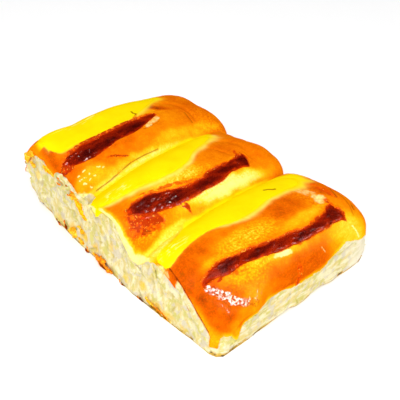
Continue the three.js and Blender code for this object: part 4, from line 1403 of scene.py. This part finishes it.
# %% Clinging crumbs
def crumb_tree(material):
    tree = Tree("clinging crumbs", {"Crumbs per square metre": 5.5e5, "Seed": 4, "Smallest": 0.22 * MM,
                                    "Largest": 0.75 * MM, "Dent": 0.45 * MM, "Dent spacing": 0.8 * MM,
                                    "Material": material})
    share = tree.add("GeometryNodeInputNamedAttribute", {"data_type": "FLOAT"}, {"Name": "clings"})
    density = tree.maths("MULTIPLY", share.outputs["Attribute"], "Crumbs per square metre")
    spots = tree.add("GeometryNodeDistributePointsOnFaces", None,
                     {"Mesh": tree.entry.outputs["Geometry"], "Density": density, "Seed": "Seed"})
    ball = tree.add("GeometryNodeMeshUVSphere", None, {"Segments": 6, "Rings": 5, "Radius": 1.0})
    turn = tree.random_vector((0, 0, 0), (6.28, 6.28, 6.28))
    size = tree.add("FunctionNodeRandomValue", {"data_type": "FLOAT"},
                    {2: "Smallest", 3: "Largest", "Seed": "Seed"})
    scale = tree.scaled(tree.random_vector((0.6, 0.6, 0.45), (1.5, 1.1, 0.9)), size.outputs[1])
    balls = tree.scattered(spots.outputs["Points"], ball.outputs["Mesh"], turn, scale)
    noise_node = tree.add("ShaderNodeTexNoise", None,
                          {"Scale": tree.maths("DIVIDE", 1.0, "Dent spacing"), "Detail": 1.0})
    centred = tree.add("ShaderNodeVectorMath", {"operation": "SUBTRACT"},
                       {0: noise_node.outputs["Color"], 1: (0.5, 0.5, 0.5)})
    tree.close(balls, tree.scaled(centred.outputs[0], "Dent"))
    return tree


edge_of_crust = np.exp(-(((crumb - 0.5) / 0.3) ** 2)) * (left_area > 0.02)
near_base = smooth(4.0, 1.0, z) * left_area
clings = np.clip(0.16 * crumb + 0.75 * edge_of_crust + 0.6 * near_base, 0, 1)
clings = clings * smooth(-0.15, 0.35, perlin(points, 3.2, 43))
write_layer(bread, "clings", clings * (z > 0.9))
crumbs = crumb_tree(bread_finish).grown_on(bread, "clinging_crumbs")
crumb_points, _ = read_points(crumbs)
write_points(crumbs, np.clip(crumb_points, low + 0.02, high - 0.02))     # inside the box by a hair
painted(crumbs, crumb=0.9, browning=0.25, grainy=1.0)
print("clinging crumbs:", len(crumbs.data.polygons) // 30, "of 30 faces each")

# %% [markdown]
# ## Jam
# The jam is dark where it lies deep, bright red where it thins out at its edges, and lumpy with fruit. Each
# stripe starts as a loft with a wandering outline, and flat drops of jam lie beside it. A Geometry Nodes
# tree then drops lumps of pulp on it and melts all of it into one skin through a volume, as stirred fruit
# melts into its jelly, and pushes its points in and out for small dimples. Its layers say where the jam is
# thin, where it is deep and where it is wet; fine lumps glint most in the wet places.

# %% Places of drops and of deep and wet jam
# Jam that left its stripe: x, y, half length along x, half width along y, turn in degrees
JAM_BLOBS = {
    "back": [(13.6, 42.2, 2.8, 0.9, 20), (-41.6, 38.6, 2.2, 0.9, -30), (-43.0, 36.2, 1.5, 0.7, 10),
             (-30.0, 41.0, 3.4, 0.8, 6), (-3.0, 42.0, 2.6, 0.7, 12)],
    "middle": [(-22.4, -16.2, 1.0, 2.0, 18), (-21.2, -18.2, 0.6, 1.7, 12), (25.0, -6.4, 0.9, 2.6, -15),
               (-39.8, -3.4, 2.2, 1.2, 20), (-36.6, -10.8, 3.4, 1.6, -30), (-31.0, -14.0, 3.0, 1.2, -12),
               (-17.0, -9.8, 2.4, 0.8, -25)],
    "front": [(28.2, -56.0, 1.1, 3.0, -10), (26.4, -57.8, 2.0, 1.6, 0), (-40.8, -51.6, 2.8, 0.8, -8),
              (-38.0, -55.4, 2.4, 0.9, -24), (-30.4, -52.4, 2.4, 0.9, -10), (8.0, -60.0, 3.0, 0.8, 6)],
}
# Where the jam lies deep and dark: x, y, reach along x, reach along y
JAM_DEEP = {
    "back": [(-33, 34.0, 6.5, 3.6), (-20, 35.4, 10, 3.0), (-2, 37.6, 9, 2.4)],
    "middle": [(-33, -5.6, 6, 2.8), (-22, -11.4, 6, 2.4), (-4, -13.4, 9, 1.6), (9, -11.4, 6, 1.4),
               (22, -9.6, 3, 3.0)],
    "front": [(-33, -53.4, 4, 1.8), (-18, -57.6, 8, 1.4), (6, -62, 9, 1.6), (24, -60.8, 4, 2.2)],
}
# Where the jam glints most: x where it is wettest, x where that has faded, how much it glints there
JAM_WET = {"back": (-34, -24, 0.6), "middle": (-22, -12, 1.0), "front": (10, -20, 0.5)}
print(sum(len(drops) for drops in JAM_BLOBS.values()), "drops of jam")

# %% Drop of jam
DROP_SINK, DROP_HEIGHT = 0.1, 0.8      # how deep a drop's middle lies, and its half height
DROP_POLE = 0.05                       # how far the middle of its top stands above the last ring


def blob_shell(name, px, py, half_x, half_y, turn):
    """A flat drop of jam on the crust."""
    u, v = np.meshgrid(np.linspace(0, 2 * np.pi, 25)[:-1], np.linspace(0, np.pi, 12)[1:-1])
    local = np.stack([half_x * np.sin(v) * np.cos(u), half_y * np.sin(v) * np.sin(u)], -1)
    angle = math.radians(turn)
    xs = px + local[..., 0] * math.cos(angle) - local[..., 1] * math.sin(angle)
    ys = py + local[..., 0] * math.sin(angle) + local[..., 1] * math.cos(angle)
    zs = crust_height(ROLLS[name], xs, ys) + sag(xs, ys) - DROP_SINK + DROP_HEIGHT * np.cos(v)
    rings = np.stack([xs, ys, zs], -1)
    pole = (0, 0, DROP_POLE)
    drop_points, faces = skin(rings, rings[0].mean(0) + pole, rings[-1].mean(0) - pole)
    return drop_points, [face[::-1] for face in faces]


print("a drop stands", round(DROP_HEIGHT - DROP_SINK, 2), "mm proud of the crust")

# %% Wet jam
JAM_STOPS = [
    (0.00, (0.055, 0.002, 0.0015)),
    (0.30, (0.16, 0.006, 0.0015)),
    (0.62, (0.34, 0.014, 0.001)),
    (1.00, (0.62, 0.036, 0.001)),
]


def jam_material():
    paint = Paint("wet jam")
    thin = paint.layer("thin")
    streak_place = paint.stretched((0.4, 1.0, 1.0))
    pulp, specks = paint.noise(2.0, 3, 0.6, streak_place, 0.4), paint.noise(0.7, 2)
    tone = (thin * 0.5 + 0.46 - paint.layer("deep") * 0.32 + (pulp - 0.5) * 0.9 + (specks - 0.5) * 0.5).clip()
    glints = paint.noise(0.7, 2, 0.6).ease(0.60, 0.62) * paint.layer("wet")
    paint.set(Base_Color=paint.ramp(tone, JAM_STOPS), Roughness=0.5, Coat_Weight=0.02 + glints * 0.9,
              Coat_Roughness=0.05, Coat_IOR=1.5, Specular_IOR_Level=0.0)
    paint.bump(paint.noise(0.62, 2, 0.5) + pulp * 0.4, 0.8)
    return paint.material


red = jam_material()
print("jam material:", len(red.node_tree.nodes), "nodes")

# %% Lumpy jam
def jam_tree(material):
    tree = Tree("lumpy jam", {"Pulp size": 1.0 * MM, "Pulp count": 1.3e5, "Seed": 11, "Voxel": 0.32 * MM,
                              "Ripple height": 0.55 * MM, "Ripple spacing": 1.9 * MM, "Material": material})
    normal = tree.add("GeometryNodeInputNormal").outputs[0]
    upward = tree.add("ShaderNodeSeparateXYZ", None, {0: normal})
    faces_up = tree.add("FunctionNodeCompare", {"data_type": "FLOAT", "operation": "GREATER_THAN"},
                        {0: upward.outputs["Z"], 1: 0.3})
    spots = tree.add("GeometryNodeDistributePointsOnFaces", None,
                     {"Mesh": tree.entry.outputs["Geometry"], "Selection": faces_up.outputs[0],
                      "Density": "Pulp count", "Seed": "Seed"})
    lump = tree.add("GeometryNodeMeshIcoSphere", None, {"Radius": "Pulp size", "Subdivisions": 2})
    turn = tree.random_vector((-0.2, -0.2, -0.45), (0.2, 0.2, 0.45))
    stretch = tree.random_vector((0.8, 0.35, 0.25), (2.6, 0.8, 0.5))
    lumps = tree.scattered(spots.outputs["Points"], lump.outputs["Mesh"], turn, stretch)
    both = tree.add("GeometryNodeJoinGeometry", None, {0: tree.entry.outputs["Geometry"]})
    tree.tree.links.new(lumps, both.inputs[0])
    volume = tree.add("GeometryNodeMeshToVolume", {"resolution_mode": "VOXEL_SIZE"},
                      {"Mesh": both.outputs[0], "Voxel Size": "Voxel", "Interior Band Width": 1.2 * MM})
    melted = tree.add("GeometryNodeVolumeToMesh", {"resolution_mode": "VOXEL_SIZE"},
                      {"Volume": volume.outputs[0], "Voxel Size": "Voxel", "Threshold": 0.1})
    drawn = tree.add("ShaderNodeVectorMath", {"operation": "MULTIPLY"},
                     {0: tree.add("GeometryNodeInputPosition").outputs[0], 1: (0.45, 1.0, 1.0)})
    ripple = tree.add("ShaderNodeTexNoise", None,
                      {"Vector": drawn.outputs[0], "Scale": tree.maths("DIVIDE", 1.0, "Ripple spacing"),
                       "Detail": 3.0})
    height = tree.maths("MULTIPLY", tree.maths("SUBTRACT", ripple.outputs["Fac"], 0.5), "Ripple height")
    tree.close(melted.outputs[0], tree.scaled(normal, height))
    return tree


jam_maker = jam_tree(red)
print("lumpy jam:", len(jam_maker.tree.nodes), "nodes")

# %% Jam stripes
JAM_CROWN = 0.42
JAM_DEPTH = 2.4
JAM_STEPS, JAM_ACROSS = 220, 22
JAM_WANDER = 0.9                       # how far a stripe's outline wanders from its table
LEAST_WET = 0.06

jams = {}
for name in ROLLS:
    shells = [strip_shell(name, jam_edges(name), JAM_DEPTH, JAM_CROWN, JAM_STEPS, JAM_ACROSS, JAM_WANDER)]
    shells += [blob_shell(name, *blob) for blob in JAM_BLOBS[name]]
    stripe = mesh_object(f"jam_{name}_start", *join_shells(shells))
    jams[name] = jam_maker.grown_on(stripe, f"jam_{name}_stripe")
    bpy.data.objects.remove(stripe)
    jam_points, _ = read_points(jams[name])
    jam_points[:, 2] = under_lid(jam_points[:, 2])
    write_points(jams[name], jam_points)
    inside = -lies_in(jam_edges(name), jam_points[:, 0], jam_points[:, 1])
    write_layer(jams[name], "thin", smooth(1.5, -0.3, inside + 0.8 * perlin(jam_points, 2.5, 26)))
    deep = np.zeros(len(jam_points))
    for px, py, reach_x, reach_y in JAM_DEEP[name]:
        away = np.hypot((jam_points[:, 0] - px) / reach_x, (jam_points[:, 1] - py) / reach_y)
        deep = np.maximum(deep, smooth(1.4, 0.4, away + 0.4 * perlin(jam_points, 3, 44)))
    write_layer(jams[name], "deep", deep)
    wet_from, wet_to, wettest = JAM_WET[name]
    write_layer(jams[name], "wet", lerp(LEAST_WET, wettest, smooth(wet_to, wet_from, jam_points[:, 0])))
    print("jam", name, len(jams[name].data.polygons), "faces")

# %% [markdown]
# ## Floor, light and camera
# The floor is a plain pale table. The camera stands where the photographer stood: in front and to the left,
# looking down. Soft light comes from a bright room and three panels that only light the bread. Two windows
# and a ceiling lamp are only mirrored in the gloss; one of the windows draws the broken highlight on the
# near roll.

# %% Table and camera
TARGET = Vector((-0.68, 0.13, 15.0)) * MM
AZIMUTH, ELEVATION = math.radians(-43.4), math.radians(38.6)
DISTANCE = 385 * MM
SENSOR, IMAGE_WIDTH = 36.0, 400
FOCAL_PIXELS = 830.0
TARGET_PIXEL = (192.7, 201.9)          # where the target lies in the 400 x 400 picture
TABLE = 3.0                            # half the table's side, in metres

floor_mesh = bpy.data.meshes.new("table")
floor_mesh.from_pydata([(-TABLE, -TABLE, 0), (TABLE, -TABLE, 0), (TABLE, TABLE, 0), (-TABLE, TABLE, 0)], [],
                       [(0, 1, 2, 3)])
floor = bpy.data.objects.new("table", floor_mesh)
bpy.context.scene.collection.objects.link(floor)
table_paint = Paint("pale table")
table_paint.set(Base_Color=(1.0, 1.0, 1.0, 1), Roughness=0.9, Specular_IOR_Level=0.0)
floor_mesh.materials.append(table_paint.material)
floor.visible_glossy = False           # a white floor would lay a grey veil over the glaze

back_way = Vector((math.sin(AZIMUTH) * math.cos(ELEVATION), -math.cos(AZIMUTH) * math.cos(ELEVATION),
                   math.sin(ELEVATION)))
right_way = Vector((math.cos(AZIMUTH), math.sin(AZIMUTH), 0))
up_way = back_way.cross(right_way)
camera_data = bpy.data.cameras.new("camera")
camera = bpy.data.objects.new("camera", camera_data)
bpy.context.scene.collection.objects.link(camera)
camera.matrix_world = (Matrix.Translation(TARGET + back_way * DISTANCE)
                       @ Matrix((right_way, up_way, back_way)).transposed().to_4x4())
camera_data.sensor_width = SENSOR
camera_data.lens = FOCAL_PIXELS / IMAGE_WIDTH * SENSOR
camera_data.shift_x = (IMAGE_WIDTH / 2 - TARGET_PIXEL[0]) / IMAGE_WIDTH
camera_data.shift_y = (TARGET_PIXEL[1] - IMAGE_WIDTH / 2) / IMAGE_WIDTH
camera_data.clip_start, camera_data.clip_end = 0.01, 20
bpy.context.scene.camera = camera
print("camera at", [round(value, 3) for value in camera.matrix_world.translation], "m")

# %% Lights
def soft_panel(name, place, size, power, mirrored, length_way=(0, 1, 0)):
    """A light panel that faces the bread, its length along length_way; it lights the bread or is mirrored."""
    light = bpy.data.lights.new(name, "AREA")
    light.shape, light.energy = "RECTANGLE", power
    light.size, light.size_y = size
    panel = bpy.data.objects.new(name, light)
    bpy.context.scene.collection.objects.link(panel)
    facing = (Vector(place) - TARGET).normalized()
    across = facing.cross(Vector(length_way)).normalized()
    axes = Matrix((across.cross(facing), across, facing)).transposed().to_4x4()
    panel.matrix_world = Matrix.Translation(place) @ axes
    panel.visible_glossy, panel.visible_diffuse = mirrored, not mirrored


ROOM_LIGHT, ROOM_GLOSS = 0.62, 0.03    # how bright the room is, and how bright it looks in the gloss
soft_panel("top panel", (-0.44, -0.40, 0.70), (0.36, 0.36), 5.6, False)
soft_panel("left panel", (-0.90, -0.20, 0.40), (0.8, 0.8), 1.8, False)
soft_panel("front panel", (0.10, -1.00, 0.60), (0.8, 0.8), 1.6, False)
soft_panel("window strip", (-0.39, -0.56, 0.59), (1.5, 0.80), 105.0, True, (0.54, -0.69, -0.19))
soft_panel("window beside it", (0.50, -0.76, 0.40), (0.70, 0.80), 49.0, True)
soft_panel("ceiling lamp", (0.06, 0.02, 0.95), (0.26, 0.26), 11.0, True)
world = bpy.data.worlds.new("bright room")
world.use_nodes = True
sky = world.node_tree
rays = sky.nodes.new("ShaderNodeLightPath")
strength = sky.nodes.new("ShaderNodeMix")
strength.inputs["A"].default_value, strength.inputs["B"].default_value = ROOM_LIGHT, ROOM_GLOSS
sky.links.new(rays.outputs["Is Glossy Ray"], strength.inputs["Factor"])
sky.nodes["Background"].inputs["Color"].default_value = (1, 1, 1, 1)
sky.links.new(strength.outputs["Result"], sky.nodes["Background"].inputs["Strength"])
bpy.context.scene.world = world
bpy.context.scene.view_settings.view_transform = "Standard"
print("lights:", [light.name for light in bpy.data.lights])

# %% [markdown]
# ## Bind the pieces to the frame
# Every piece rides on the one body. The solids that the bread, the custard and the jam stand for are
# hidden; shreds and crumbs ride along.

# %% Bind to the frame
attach(bread, "root")
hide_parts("bread")
for piece in [*shreds.values(), crumbs]:
    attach(piece, "root")
for name in ROLLS:
    for piece, node, slot in [(custards[name], f"custard_{name}", "custard"),
                              (jams[name], f"jam_{name}", "jam")]:
        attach(piece, "root")
        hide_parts(node)
